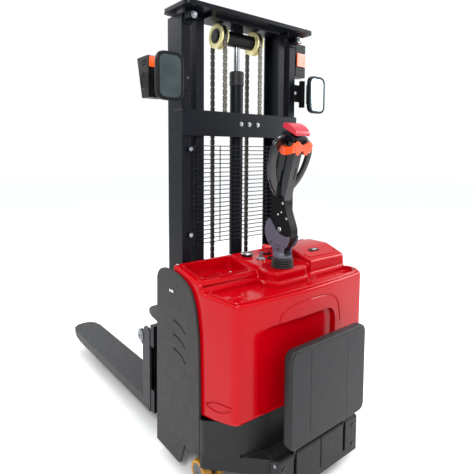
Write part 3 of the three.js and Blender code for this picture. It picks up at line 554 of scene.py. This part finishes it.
def console_controls():
    gauge, stop, key = (*GAUGE, 926.5), (*STOP, 923), (*KEY, 921)
    case = [(0, -18), (25, -18), (25, 2), (29, 2), (29.4, 4), (28, 6.4), (24, 6.6), (23, 3.4), (0, 3.4)]
    piece("gauge_case", [turned(case, "z", gauge)], BLACK, "battery_gauge")
    piece("gauge_dial", [rod("z", GAUGE, 22.8, 929.9, 930.6, 48)], DIAL)
    marks = [on_dial(block(15, 20, -0.7, 0.7, 930.5, 931), -30 + 30 * k) for k in range(9)]
    marks.append(on_dial(block(-3, 15, -0.8, 0.8, 931, 931.8), 120))
    marks.append(rod("z", GAUGE, 3, 930.4, 932.5, 20))
    piece("gauge_marks", marks, BLACK)
    bezel = [(26.2, 6.2), (29.6, 6.2), (30.2, 8), (28.5, 9.4), (26.6, 8.6), (26.2, 6.2)]
    piece("gauge_bezel", [turned(bezel, "z", gauge)], ZINC)
    knob = [(0, -22), (11, -22), (11, 23), (17, 24), (21.5, 26), (23, 30), (22.4, 35), (19.5, 40), (14, 43),
        (6, 44), (0, 44)]
    piece("stop_knob", [turned(knob, "z", stop)], STOP_RED, "emergency_stop", body="stop_switch")
    collar = [(12, -4), (27, -4), (27, 2), (24, 4), (13, 4), (12, 2), (12, -4)]
    piece("stop_collar", [turned(collar, "z", stop)], BLACK)
    barrel = turned([(0, -20), (12, -20), (12, 1), (15, 1), (15.4, 3), (14, 5.6), (0, 6)], "z", key)
    bow = round_corners([(-11, 4), (11, 4), (12, 20), (9, 34), (-9, 34), (-12, 20)], 5)
    bow = moved(prism(bow, "y", -1.4, 1.4), Matrix.Translation(key))
    piece("key", [barrel, bow], STEEL, "ignition_key", body="key_switch", bevel=0.5)
    collar = [(16, -4), (22, -4), (22, 2), (19, 4), (16, 4), (16, -4)]
    piece("key_collar", [turned(collar, "z", key)], ZINC)
    boot = turned([(10, 0), (17, 0), (16, 4), (11, 7), (10, 7), (10, 0)], "z", (44, -150, 917), 32)
    piece("console_plug", [boot, rod("z", (44, -150), 9.5, 917, 921, 24)], BLACK)


# ---------- panels, bumper and platform ----------
def bumper():
    low = mirrored([(-427.5, -236), (-427.5, -252), (-224, -470)])
    low_in = mirrored([(-416.5, -236), (-416.5, -254), (-219, -459)])
    high = mirrored([(-427.5, -236), (-427.5, -262), (-346, -362), (-218, -398), (0, -404)])
    high_in = mirrored([(-416.5, -236), (-416.5, -262), (-339, -353), (-216, -387), (0, -393)])
    low_ring = round_corners(low, [0, 34, 26, 26, 34, 0], 8)
    low_ring += round_corners(low_in, [0, 28, 20, 20, 28, 0], 8)[::-1]
    high_ring = round_corners(high, [0, 50, 70, 40, 60, 40, 70, 50, 0], 8)
    high_ring += round_corners(high_in, [0, 42, 62, 40, 60, 40, 62, 42, 0], 8)[::-1]
    above = [(y, z - 3) for y, z in HOOD_EDGE]
    piece("bumper_skin", [prism(high_ring, "z", 186, 392)], DARK, "rear_bumper", bevel=2.2, degrees=30,
        cuts=[prism([*above, (-500, 430), (10, 430)], "x", -500, 500)])
    piece("bumper_band", [prism(low_ring, "z", 130, 200)], DARK, bevel=3)
    ledge = [(-416, -258), (-220, -460), (220, -460), (416, -258), (330, -345), (216, -386), (-216, -386),
        (-330, -345)]
    piece("bumper_ledge", [prism(ledge, "z", 190, 198.5)], DARK, bevel=1)
    ridges = [bead([(s * 322, -372, 200), (s * 218, -400, 200), (s * 224, -462, 200)], 4.5, 0.8)
        for _, s in SIDES]
    piece("ledge_ridges", ridges, DARK)


def platform():
    grooves = [block(x - 0.9, x + 0.9, -566, -562.4, 300, 668) for x in (-124, 107)]
    piece("platform_pad", [prism(rectangle(-238, 238, 285, 681, 42, 8), "y", -564, -522)], RUBBER,
        "platform_deck", body="platform", bevel=11, segments=4, degrees=30, late_cuts=grooves, smooth=32)
    arm = round_corners([(-512, 205), (-480, 205), (-488, 325), (-521, 355), (-527, 295)], 4, 3)
    arms = []
    for _, s in SIDES:
        x = s * ARM_X
        arms += [prism(arm, "x", x - 6, x + 6), rod("x", HINGE, 16, x - 6, x + 6)]
    piece("platform_arms", arms, DARK, body="platform", bevel=1.2)
    edge = [(x, -523.5, z) for x, z in rectangle(-228, 228, 295, 671, 36, 8)]
    piece("platform_back_rim", [bead(edge, 2.2, 1, (0, 1, 0), True)], BLACK, body="platform")


def platform_block():
    profile = [(-470.3, 66), (-470.3, 212), (-508, 232), (-516, 230), (-520, 224), (-520, 66)]
    slots = [block(s * ARM_X - 9, s * ARM_X + 9, -525, -478, 96, 240) for _, s in SIDES]
    slots += [block(-2.5, 2.5, -525, -512, 96, 240), rod("x", HINGE, 8.3, -255, 255)]
    piece("mount_block", [prism(profile, "x", -250, 250)], DARK, "platform_mount", bevel=3, degrees=30,
        cuts=slots)
    bolts = [cap_screw((x, -520, z), 11) for x in (-222, 222) for z in (100, 190)]
    piece("mount_bolts", bolts, SHADED_CHAIN_STEEL)


def cap_screw(at, radius):
    """A round-headed screw standing proud of a face that looks to the rear."""
    profile = [(0, -2), (radius, -2), (radius, 2.6), (radius * 0.82, 4.4), (radius * 0.45, 4.4),
        (radius * 0.4, 2.2), (0, 2.2)]
    return turned([(r, -h) for r, h in profile], "y", at, 28)


def hexagon_bolt(at, facing, radius, height):
    """A bolt's head on its washer. It faces to the front for 1 and to the rear for -1."""
    wide = radius * 1.35
    washer = turned([(0, -facing), (wide, -facing), (wide, 2 * facing), (0, 2 * facing)], "y", at, 28)
    head = turned([(0, facing * 1.5), (radius, facing * 1.5), (radius, facing * height),
        (radius * 0.9, facing * (height + 1)), (0, facing * (height + 1))], "y", at, 6)
    return [washer, head]


def side_panels():
    outline = [(125, 57), (112, 860), (97, 885), (70, 903), (37, 910), (-60, 905), (-105, 892), (-167, 860),
        (-204, 787), (-225, 668), (-232, 353), (-232, 165), (-117, 159), (-84, 57), (-72, 53)]
    soft = round_corners(outline, [4, 18, 14, 20, 20, 40, 30, 40, 60, 60, 40, 6, 8, 8, 4], 5)
    for name, s in SIDES:
        panel = f"{name}_side_panel"
        louvres = []
        for z in (676, 612, 548):
            line = curve([(s * 421, y, z + rise) for y, rise in ((-30, 14), (-62, 11), (-96, 2),
                (-130, -20))], 5)
            louvres.append(sweep(line, rectangle(-3.4, 3.4, -12, 12), False, (1, 0, 0)))
        piece(f"{name}_panel", [prism(soft, "x", *span(s, 415.5, 427.5))], PANEL, panel, bevel=2, degrees=30,
            cuts=louvres)
        badge = prism(rectangle(-38, 2, 808, 828, 6), "x", *span(s, 427, 428.2))
        piece(f"{name}_badge", [badge], BLACK, like=panel)
        marks = [prism(rectangle(y, y + 8, 812, 824, 2), "x", *span(s, 427.8, 428.8))
            for y in (-34, -22, -10)]
        piece(f"{name}_badge_marks", marks, DIAL)


# ---------- mast ----------
def mast():
    for name, _ in SIDES:
        refined(f"{name}_mast_channel", MAST, 2.5, 3)
        refined(f"inner_{name}_channel", MAST, 1.5, 2)
    refined("mast_crossbeam", MAST, 2.5, 3)
    piece("top_plate", [prism(rectangle(-392, 392, -98, 115, 34, 8), "z", 2040, 2060)], MAST,
        "mast_top_plate", body="inner_mast", bevel=3)
    ribs = [block(s * 240 - 5, s * 240 + 5, -60, 0, 2022, 2041) for _, s in SIDES]
    piece("top_ribs", [*ribs, block(-200, 200, -40, -32, 2024, 2041)], MAST, body="inner_mast", bevel=1.5)
    tabs = [block(s * STOP_X - 22, s * STOP_X + 22, y0, y1, z0, 2030)
        for y0, y1, z0 in ((-50, -1, 2000), (-8, 0, 1985)) for _, s in SIDES]
    piece("stop_tabs", tabs, MAST, bevel=1.5)
    bolts = []
    for _, s in SIDES:
        bolts += hexagon_bolt((s * STOP_X, -50, 2014), -1, 11, 12)
        bolts.append(rod("y", (s * STOP_X, 2014), 6.5, -66, -40, 20, 1))
    piece("stop_bolts", bolts, ZINC)
    beam = []
    for x in (-28, 24, 80):
        beam += hexagon_bolt((x, -12, 1564), -1, 8, 7)
    piece("beam_bolts", beam, ZINC)
    # A thin black disc on the channel's outer face stands for a hole: painted shade.
    piece("channel_hole_painted_shade", [rod("x", (93, 2016), 5, -359.5, -358.8, 24)], BLACK)
    clips = [block(-358, -346, -10, -0.5, 1740, 1764), block(-358, -334, -13, -9, 1746, 1758)]
    piece("cable_clip", clips, ZINC, bevel=1)


def guard():
    half, low, high, gaps = 299, 1005, 1456, 22
    wires = [rod("x", (-7, low + (high - low) * k / gaps), 2.1, -half, half, 10) for k in range(gaps + 1)]
    wires += [rod("z", (x, -4.4), 2.6, low - 2, high + 2, 12) for x in (-half, -150, 150, half)]
    piece("guard_wires", wires, MAST, "wire_guard", smooth=50)
    plates, bolts = [], []
    for _, s in SIDES:
        for z in (1051, 1441):
            plates.append(prism(rectangle(*span(s, 294, 332), z - 14, z + 14, 6, 3), "y", -9, -0.4))
            bolts += hexagon_bolt((s * 318, -9, z), -1, 7, 6)
    piece("guard_plates", plates, MAST, bevel=1)
    piece("guard_bolts", bolts, ZINC)


def cylinder():
    foot = (0, AXLE[0], 0)
    tube = [(27, 185), (27, 1756), (31, 1756), (33, 1753), (33, 171), (0, 171), (0, 185), (27, 185)]
    piece("lift_tube", [turned(tube, "z", foot, 64)], MAST, "cylinder_tube")
    gland = [(14.8, 1756.3), (34, 1756.3), (36, 1758), (36, 1782), (34, 1784), (34, 1788), (36, 1790),
        (36, 1822), (33, 1826), (20, 1826), (18, 1822), (14.8, 1821), (14.8, 1756.3)]
    piece("lift_gland", [turned(gland, "z", foot, 64)], DARK, "cylinder_gland")
    ram = [(0, 300), (26.5, 300), (26.5, 330), (14.5, 330), (14.5, 1942), (13, 1944.6), (0, 1944.6)]
    piece("lift_ram", [turned(ram, "z", foot, 64)], CHROME, "piston_rod", body="inner_mast")


def band(inner, outer, low, high):
    """The closed profile of a plain ring."""
    return [(inner, low), (outer, low), (outer, high), (inner, high), (inner, low)]


def crosshead():
    solids = [rod("x", AXLE, 35, -91, 91, 56, 3), block(-31, 31, 48, 72, 1984, 2039.7),
        rod("x", AXLE, 19.6, -136, 136, 40, 1)]
    solids += [turned([(0, s * 132.5), (25, s * 132.5), (25, s * 135.5), (23, s * 137), (0, s * 137)], "x",
        (0, *AXLE)) for _, s in SIDES]
    piece("lift_drum", solids, BLACK, "lift_crosshead", body="inner_mast", bevel=1.2)
    profile = [(20, -20), (36, -20), (38, -17), (47, -17), (49, -20), (56, -20), (57.5, -18), (57.5, -13),
        (56, -12), (43, -11.5), (41, -9.5), (41, 9.5), (43, 11.5), (56, 12), (57.5, 13), (57.5, 18), (56, 20),
        (49, 20), (47, 17), (38, 17), (36, 20), (20, 20), (20, -20)]
    for name, s in SIDES:
        at, body = (s * CHAIN_X, *AXLE), f"{name}_pulley_body"
        piece(f"{name}_pulley", [turned(profile, "x", at, 64)], PASSIVATED, f"{name}_chain_pulley", body=body)
        rings = [turned(band(20.2, 35.5, *ends), "x", at) for ends in ((17.2, 20.4), (-20.4, -17.2))]
        piece(f"{name}_pulley_bearing", rings, BLACK, body=body)


def link_plates(outline, k, x=0):
    """The plates of link k. Odd and even links lie between one another on the pins."""
    offsets = (-8.6, -2.9, 2.9, 8.6) if k % 2 else (-5.8, 0, 5.8)
    return [prism(outline, "x", x + u - 1.25, x + u + 1.25) for u in offsets]


def chain_run(name, x, y, low, high, material):
    """A leaf chain: plates in offset pairs on round pins."""
    plates, pins = [], []
    for k in range(int((high - low) / CHAIN_PITCH)):
        z = low + CHAIN_PITCH * k + 1
        waist = round_corners([(y - 7, z - 5), (y + 7, z - 5), (y + 4.6, z + 8), (y + 7, z + 21),
            (y - 7, z + 21), (y - 4.6, z + 8)], [6, 6, 3, 6, 6, 3], 2)
        plates += link_plates(waist, k, x)
        pins.append(rod("x", (y, z), 3.2, x - 10, x + 10, 10))
    made = piece(f"{name}_links", plates + pins, material, name, body=None, smooth=40)
    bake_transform(made)


def chains():
    plate = [(y, z - 6) for y, z in round_corners([(-57, -5), (-43.5, -5), (-43.5, 18), (-57, 18)], 5, 2)]
    links = 11
    for name, s in SIDES:
        x = s * CHAIN_X
        chain_run(f"{name}_rear_chain", x, 10, 1562, 1976,
            CHAIN_STEEL)
        # The front run is the same chain as the rear run, made darker: painted shade.
        chain_run(f"{name}_front_chain", x, 110, 498, 1976,
            SHADED_CHAIN_STEEL)
        ends = [block(x - 11, x + 11, 2, 18, 1546, 1566), rod("z", (x, 10), 6, 1530, 1550, 24)]
        piece(f"{name}_chain_anchor", ends, ZINC, bevel=1)
        wrap = []
        for k in range(links):
            turn = Matrix.Translation((x, *AXLE)) @ Matrix.Rotation(-math.pi * (k + 0.5) / links, 4, "X")
            wrap += [moved(solid, turn) for solid in link_plates(plate, k)]
        # The wrap over the pulley takes the darker chain steel too: painted shade.
        piece(f"{name}_chain_wrap", wrap, SHADED_CHAIN_STEEL, body="inner_mast", smooth=40)


# ---------- carriage, forks and wheels ----------
def carriage():
    refined("carriage_frame", MAST, 2, 2)
    for name, _ in SIDES:
        refined(f"{name}_fork", FORK_PAINT, 3, 3)
    bar = [rod("x", SHAFT, 20, -396, 396, 48, 2)]
    bar += [turned([(20, s * 387.5), (29, s * 387.5), (29, s * 391), (27.5, s * 392), (20, s * 392),
        (20, s * 387.5)], "x", (0, *SHAFT)) for _, s in SIDES]
    piece("fork_bar", bar, STEEL, "fork_shaft", body="carriage")
    clamps = []
    for x in (-270, -86.4, 86.4, 270):
        clamps += hexagon_bolt((x, 262, 505), 1, 9, 8)
    piece("carriage_bolts", clamps, ZINC, body="carriage")
    # Thin black discs on the shaft's end faces stand for its bores: painted shade. The thin black rings
    # around them are dark seams.
    bore_shade_and_seam = [rod("x", SHAFT, 6.5, *span(s, 395.4, 396.4), 24) for _, s in SIDES]
    bore_shade_and_seam += [turned(band(12.5, 13.5, s * 395.4, s * 396.3), "x", (0, *SHAFT), 28) for _, s in SIDES]
    piece("shaft_end_shade_and_seam", bore_shade_and_seam, BLACK, body="carriage")


def tyre_profile(radius, half, bore, soft):
    side = [(radius - soft, half), (radius - 0.3 * soft, half - 0.3 * soft), (radius, half - soft)]
    return [(bore, -half), *[(r, -h) for r, h in side], *side[::-1], (bore, half), (bore, -half)]


def wheels():
    refined("drive_unit", DARK, 1.5, 2)
    drive = (0, STEER_Y, 115)
    piece("drive_tyre_tread", [turned(tyre_profile(115, 38, 84, 6), "x", drive, 72)], TREAD, "drive_wheel",
        body="drive_tyre")
    hub = [(15.3, -34), (80, -34), (84, -30), (84, 30), (80, 34), (60, 34), (56, 20), (30, 20), (28, 36),
        (15.3, 36), (15.3, -34)]
    piece("drive_hub", [turned(hub, "x", drive, 48)], HUB, body="drive_tyre")
    for name, s in SIDES:
        refined(f"{name}_castor_fork", DARK, 1.2, 2)
        x, axle, body = s * 335, (-170, 50), f"{name}_castor_roller"
        treads, hubs = [], []
        for side in (-1, 1):
            inner, outer = span(side, 17, 58)
            treads.append(turned([(36, inner), (48, inner), (50, inner + 3), (50, outer - 3), (48, outer),
                (36, outer), (36, inner)], "x", (x, *axle), 56))
            hubs.append(turned([(8, inner + 1), (36, inner + 1), (36, outer - 2), (30, outer - 2),
                (27, outer - 8), (16, outer - 8), (14, outer - 2), (8, outer - 2), (8, inner + 1)], "x",
                (x, *axle), 40))
        piece(f"{name}_castor_treads", treads, AMBER, f"{name}_castor_wheel", body=body)
        piece(f"{name}_castor_hubs", [*hubs, rod("x", axle, 7.8, x - 56, x + 56, 24, 1)], HUB, body=body)
        load, body = (s * 220, 1150, 40), f"{name}_load_wheel"
        piece(f"{name}_load_tread", [turned(tyre_profile(40, 38, 24, 3), "x", load, 56)], AMBER,
            f"{name}_load_roller", body=body)
        hub = [(10.3, -37), (23.5, -36), (23.5, 36), (10.3, 37), (10.3, -37)]
        piece(f"{name}_load_hub", [turned(hub, "x", load, 40)], HUB, body=body)
        refined(f"{name}_support_leg", MAST, 2.5, 3)
    refined("base_frame", DARK, 1.5, 2)


def inside_parts():
    refined("battery", BLACK, 3, 3)
    caps = [turned([(0, 0), (15, 0), (15, 5), (12, 7), (0, 7)], "z", (x, y, 439.5), 28)
        for x in (-240, -144, -48, 48, 144, 240) for y in (-120, -64)]
    piece("battery_caps", caps, BLACK)
    refined("hydraulic_power_unit", DARK, 2, 2)
    refined("motor_controller", BLACK, 1.5, 2)
    piece("hinge_pin", [rod("x", HINGE, 8, -252, 252, 40, 1)], STEEL, "platform_hinge_pin")


# ---------- mirrors and signals ----------
def mirrors():
    for name, s in SIDES:
        body, mirror = f"{name}_mirror_body", f"{name}_mirror"
        low, high = span(s, 393, 523)
        recess = prism(rectangle(low + 13, high - 13, 1653, 1825, 31, 8), "y", -80, -72)
        piece(f"{name}_mirror_shell", [prism(rectangle(low, high, 1640, 1838, 42, 8), "y", -76, -52)], BLACK,
            mirror, body=body, bevel=7, segments=4, late_cuts=[recess], smooth=32)
        face = prism(rectangle(low + 13.4, high - 13.4, 1653.4, 1824.6, 30.6, 8), "y", -73.6, -71.8)
        # The left mirror's face gets the darker copy of the glass: a painted dark reflection.
        piece(f"{name}_mirror_face", [face], PAINTED_DARK_GLASS if s < 0 else GLASS, body=body, like=mirror)
        x = s * 408
        stem = [rod("z", (x, -44), 5.5, 1690, 1790, 28, 1), block(x - 4, x + 4, -54, -42, 1712, 1768)]
        piece(f"{name}_mirror_stem", stem, STEEL, body=body, bevel=0.8)
        refined(f"{name}_mirror_bracket", BLACK, 2, 3)
        piece(f"{name}_bracket_knuckle", [rod("z", (s * 390, -24), 9, 1676, 1806, 28, 2)], BLACK)
    piece("bracket_screw", [cap_screw((350, -14, 1745), 9)], ZINC)


def signals():
    heights = {"left": (1662, 1840, 1790, 1836), "right": (1849, 2030, 1907, 1979)}
    for name, s in SIDES:
        z0, z1, lens0, lens1 = heights[name]
        shell = round_corners([(50, z0), (112, z0), (155, z1), (50, z1)], 5, 3)
        made = mesh_object(f"{name}_signal_shell", [prism(shell, "x", *span(s, 418, 494))])
        middle_z = (z0 + z1) / 2 - 14
        grille = []
        for rise in range(-27, 28, 9):
            reach = math.sqrt(30 ** 2 - rise ** 2)
            grille.append(block(*span(s, 491, 496), 86 - reach, 86 + reach, middle_z + rise - 2.2, middle_z
                + rise + 2.2))
        grille += [block(*span(s, 491, 496), 64, 106, z1 - drop, z1 - drop + 4) for drop in (22, 31, 40)]
        combine(made, grille)
        combine(made, [block(*span(s, 359.3, 419), 58, 94, z0 + 40, z0 + 110)], "UNION")
        flatten(made)
        soften(made, 1.6, 2, 30)
        shade(made)
        place(made, "chassis", BLACK, f"{name}_signal_box")
        ring = [(s * 494, 86 + y, middle_z + z) for y, z in circle(36, 40)]
        piece(f"{name}_grille_ring", [bead(ring, 1.6, 1, (1, 0, 0), True)], BLACK)
        low, high = span(s, 421, 491)
        ribs = [prism(rectangle(low, high, lens0, lens1, 6, 4), "y", 44, 49.7)]
        for k in range(7):
            x = low + (high - low) * (k + 0.5) / 7
            ribs.append(prism(rectangle(x - 3.4, x + 3.4, lens0 + 5, lens1 - 5), "y", 43.2, 45))
        piece(f"{name}_lens", ribs, LENS, f"{name}_signal_lens", bevel=1)


# ---------- tiller ----------
def tiller_base():
    rings = [(36, 0), (49, 0)]
    for k, radius in enumerate((51, 50.2, 49.4, 48.4)):
        z = 1.5 + 10.4 * k
        rings += [(radius - 1.2, z), (radius, z + 2.4), (radius, z + 4.4), (radius - 1.4, z + 6.2),
            (radius - 6, z + 8.2)]
    rings += [(42, 44), (36, 44), (36, 0)]
    piece("bellows", [turned(rings, "z", (0, STEER_Y, 911.3), 72)], BELLOWS, "tiller_bellows",
        body=BODY["tiller_bellows"])
    piece("neck", [rod("z", (0, STEER_Y), 16, 520.3, 930, 32), rod("z", (0, STEER_Y), 35, 925, 955.7, 48)],
        BLACK, "tiller_neck", body=BODY["tiller_neck"])
    crescent = [(66, 110), (80, 88), (87, 62), (85, 36), (77, 15), (64, -3), (47, -16), (27, -24), (6, -26),
        (-16, -24), (-38, -15), (-56, 1), (-65, 20), (-68, 40), (-64, 44), (-56, 41), (-44, 40), (-24, 42),
        (-4, 48), (18, 63), (36, 84), (54, 106)]
    crescent = round_corners(crescent, [5] + [10] * 12 + [4] + [10] * 7 + [4], 3)
    foot = [(-26, -52), (30, -52), (42, 0), (-36, 0)]
    screw_places = ((48, 3), (0, -23), (0, -40))
    pocket = [(radius * math.cos(math.radians(k)), radius * math.sin(math.radians(k)))
        for radius, turn in ((52, range(100, 181, 5)), (80, range(180, 99, -5))) for k in turn]
    for _, s in SIDES:
        solids = [prism(outline, "x", *span(s, 22.4, 30)) for outline in (crescent, foot)]
        holes = [rod("x", at, 5, s * 26, s * 40, 24) for at in screw_places]
        holes.append(prism(pocket, "x", *span(s, 21, 27.2)))
        piece("cheek", solids, YOKE, "tiller_yoke", body="tiller_base", bevel=2.4, degrees=30, cuts=holes,
            joined=True, matrix=PIN)
    screws = [rod("x", at, 4.8, *span(s, 25.8, 28.6), 20) for _, s in SIDES for at in screw_places]
    piece("yoke_screws", screws, BLACK, body="tiller_base", matrix=PIN)
    disc = [(0, -62.3), (41, -62.3), (44, -60), (44, -54), (40, -50), (0, -50)]
    piece("yoke_foot", [turned(disc, "z", PIN.translation, 56)], YOKE, body="tiller_base", like="tiller_yoke")
    skirt = [(30, -57), (43, -57), (42, -44), (37, -36), (31, -34), (30, -57)]
    piece("yoke_skirt", [turned(skirt, "z", PIN.translation, 56)], YOKE, body="tiller_base",
        like="tiller_yoke", cuts=[block(-22.3, 22.3, STEER_Y - 60, STEER_Y + 60, 967.5, 1000)])


def tiller_arm():
    outline = [(36, -8), (56, 14), (70, 40), (72, 80), (62, 112), (53, 152), (51, 190), (49.6, 217.2),
        (-30.5, 195.2), (-32, 176), (-40, 146), (-54, 112), (-66, 85), (-72, 54), (-58, 20), (-36, -8),
        (-24, -28), (0, -36), (24, -28)]
    radii = [6, 20, 20, 24, 24, 24, 14, 2, 2, 14, 24, 20, 20, 16, 20, 6, 14, 20, 14]
    piece("arm_body", [prism(round_corners(outline, radii, 4), "x", -22, 22)], BLACK, "tiller_arm",
        body="tiller_lever", bevel=3.5, degrees=30, matrix=PIN)
    rivets = []
    for _, s in SIDES:
        for y, z, radius in ((-18, 185, 6.5), (-10, 144, 5), (10, 132, 5), (-42, 118, 6)):
            rivets.append(turned([(0, s * 21), (radius, s * 21), (radius, s * 22.6), (radius * 0.6, s * 24.4),
                (0, s * 24.8)], "x", (0, y, z), 24))
        rivets.append(turned([(0, s * 21), (12, s * 21), (12, s * 24), (9, s * 26.5), (4, s * 26.5),
            (3.4, s * 25), (0, s * 25)], "x", (0, 0, 66), 28))
    piece("arm_rivets", rivets, ZINC, body="tiller_lever", matrix=PIN)
    piece("tilt_pin", [rod("x", (0, 0), 8, -31.5, 31.5, 28, 1)], STEEL, body="tiller_lever", matrix=PIN)


def tiller_head():
    front = [(-22, 0.3), (22, 0.3), (31, 60), (36, 120), (36, 266), (-36, 266), (-36, 120), (-31, 60)]
    front = round_corners(front, [2, 2, 40, 60, 2, 2, 60, 40], 5)
    made = mesh_object("head_hub", [prism(front, "y", -40, 38)], LEAN)
    plan = [(-40, 42), (40, 42), (40, 4), (21, -44), (-21, -44), (-40, 4)]
    combine(made, [prism(plan, "z", -5, 300)], "INTERSECT", LEAN)
    flatten(made)
    soften(made, 12, 5, 50)
    shade(made, 40)
    place(made, "tiller_lever", GLOSS_BLACK, "tiller_head")
    slant = prism([(60, 307), (-60, 281), (-60, 330), (60, 330)], "x", -60, 60)
    piece("head_crown", [prism(rectangle(-46, 46, -44, 42, 18, 6), "z", 262, 306)], BLACK,
        body="tiller_lever", like="tiller_head", bevel=3, cuts=[slant], matrix=LEAN)
    # The near grip reaches less far out and is deeper, as the photo shows it.
    for (name, s), reach, back in zip(SIDES, (-0.9, 1.0), (-27, -15)):
        line = curve([(s * 20, 5, 261), (s * 48, 4, 263), (reach * 78, 3, 259), (reach * 101, 2, 246),
            (reach * 112, 0, 210), (reach * 108, 0, 160), (reach * 90, 0, 106), (reach * 60, 0, 62),
            (s * 16, 0, 24)], 7)
        section = rectangle(back, 16, -10, 10, 9, 4)
        piece(f"{name}_grip", [sweep(line, section, False, (0, 1, 0))], GLOSS_BLACK, body="tiller_lever",
            like="tiller_head", matrix=LEAN, smooth=50)
    # A thin dark matte strip on the head's rear face stands for a slit: painted shade.
    piece("head_slit_painted_shade", [prism(rectangle(7, 13, 96, 150, 2.5, 3), "y", -42.6, -38.6)], BELLOWS,
        body="tiller_lever", matrix=LEAN)


def tiller_controls():
    outline = [(34, 253), (42, 242), (32, 222), (8, 204), (-14, 203), (-36, 212), (-58, 226), (-61, 262),
        (-54, 268), (-48, 254), (-28, 240), (-10, 236), (6, 243), (20, 245)]
    wings = []
    for _, s in SIDES:
        wings.append(prism(round_corners(outline, 5, 3), "x", *span(s, 38, 58)))
        wings.append(block(*span(s, 38, 43), -57, 10, 229, 240))
    saddle = [*mirrored([(-36, 276), (-50, 266), (-46, 236), (-26, 210), (0, 238)]), (0, 254)]
    wings.append(prism(round_corners(saddle, [6, 6, 8, 8, 12, 8, 8, 6, 6, 14], 4), "y", -62, -54))
    piece("throttle", wings, ORANGE, "throttle_butterfly", body="throttle", matrix=LEAN, bevel=2.4)
    piece("throttle_shaft", [rod("x", (4, 244), 6, -46, 46, 24)], STEEL, body="throttle", matrix=LEAN)
    outline = [(-44, 294), (-46, 303), (-36, 318), (-12, 331), (16, 338), (36, 334), (45, 323), (42, 313)]
    pad = prism(round_corners(outline, [3, 8, 14, 20, 20, 12, 8, 3], 5), "x", -43, 43)
    piece("belly_pad", [pad], BUTTON, "belly_button", body="belly_switch", bevel=8, segments=4, degrees=30,
        matrix=LEAN, smooth=40)
    piece("belly_stem", [block(-15, 15, -13, 13, 280, 306)], BLACK, body="belly_switch", matrix=LEAN, bevel=2)


for build in (hood, hood_details, console_controls, bumper, platform, platform_block, side_panels, mast,
              guard, cylinder, crosshead, chains, carriage, wheels, inside_parts, mirrors, signals,
              tiller_base, tiller_arm, tiller_head, tiller_controls):
    build()


# ---------- floor, light and camera ----------
def add_stage():
    floor = mesh_object("floor", [block(-20000, 20000, -20000, 20000, -20, -0.5)])
    ground = bpy.data.materials.new("floor_pale")
    ground.use_nodes = True
    tree = ground.node_tree
    shader = tree.nodes["Principled BSDF"]
    where = node(tree, "ShaderNodeTexCoord").outputs["Object"]
    tint = ramp(tree, noise(tree, where, 0.8, 4.0), [(0.3, 0.955), (0.7, 0.97)])
    tree.links.new(tint, shader.inputs["Base Color"])
    shader.inputs["Roughness"].default_value = 0.7
    floor.data.materials.append(ground)
    world = bpy.data.worlds.new("studio")
    bpy.context.scene.world = world
    world.use_nodes = True
    background = world.node_tree.nodes["Background"]
    background.inputs["Color"].default_value = (0.97, 0.985, 1.0, 1)
    background.inputs["Strength"].default_value = 1.04


def add_area(name, at, towards, size, energy):
    data = bpy.data.lights.new(name, "AREA")
    data.shape = "RECTANGLE"
    data.size, data.size_y = size
    data.energy = energy
    lamp = new_object(name, data)
    lamp.location = at
    lamp.rotation_mode = "QUATERNION"
    lamp.rotation_quaternion = (Vector(towards) - Vector(at)).to_track_quat("-Z", "Y")


def add_camera():
    """The camera that was fitted to the photo."""
    data = bpy.data.cameras.new("camera")
    data.sensor_width = 36
    data.lens = 32.363
    data.shift_x = 0.00926
    data.shift_y = -0.1118
    made = new_object("camera", data)
    right = Vector((0.778850, -0.627186, 0.005526))
    up = Vector((0.043966, 0.063383, 0.997020))
    ahead = Vector((0.625667, 0.776286, -0.076941))
    made.rotation_mode = "QUATERNION"
    made.rotation_quaternion = Matrix((right, up, -ahead)).transposed().to_quaternion()
    made.location = (-1.37136, -2.0729, 1.43269)
    data.clip_start, data.clip_end = 0.05, 200
    bpy.context.scene.camera = made


bpy.context.scene.view_settings.view_transform = "Standard"
add_stage()
add_area("key", (-2.6, -2.6, 3.2), (0, -0.6, 0.8), (1.0, 1.0), 95)
add_area("side", (3.0, -2.2, 2.2), (0, -0.6, 0.8), (0.9, 2.2), 60)
add_area("rim", (-0.5, 3.2, 3.4), (0, 0, 1.2), (2.5, 1.2), 60)
add_area("top", (0.2, -0.6, 4.4), (0, -0.5, 0.9), (2.2, 1.0), 70)
add_camera()
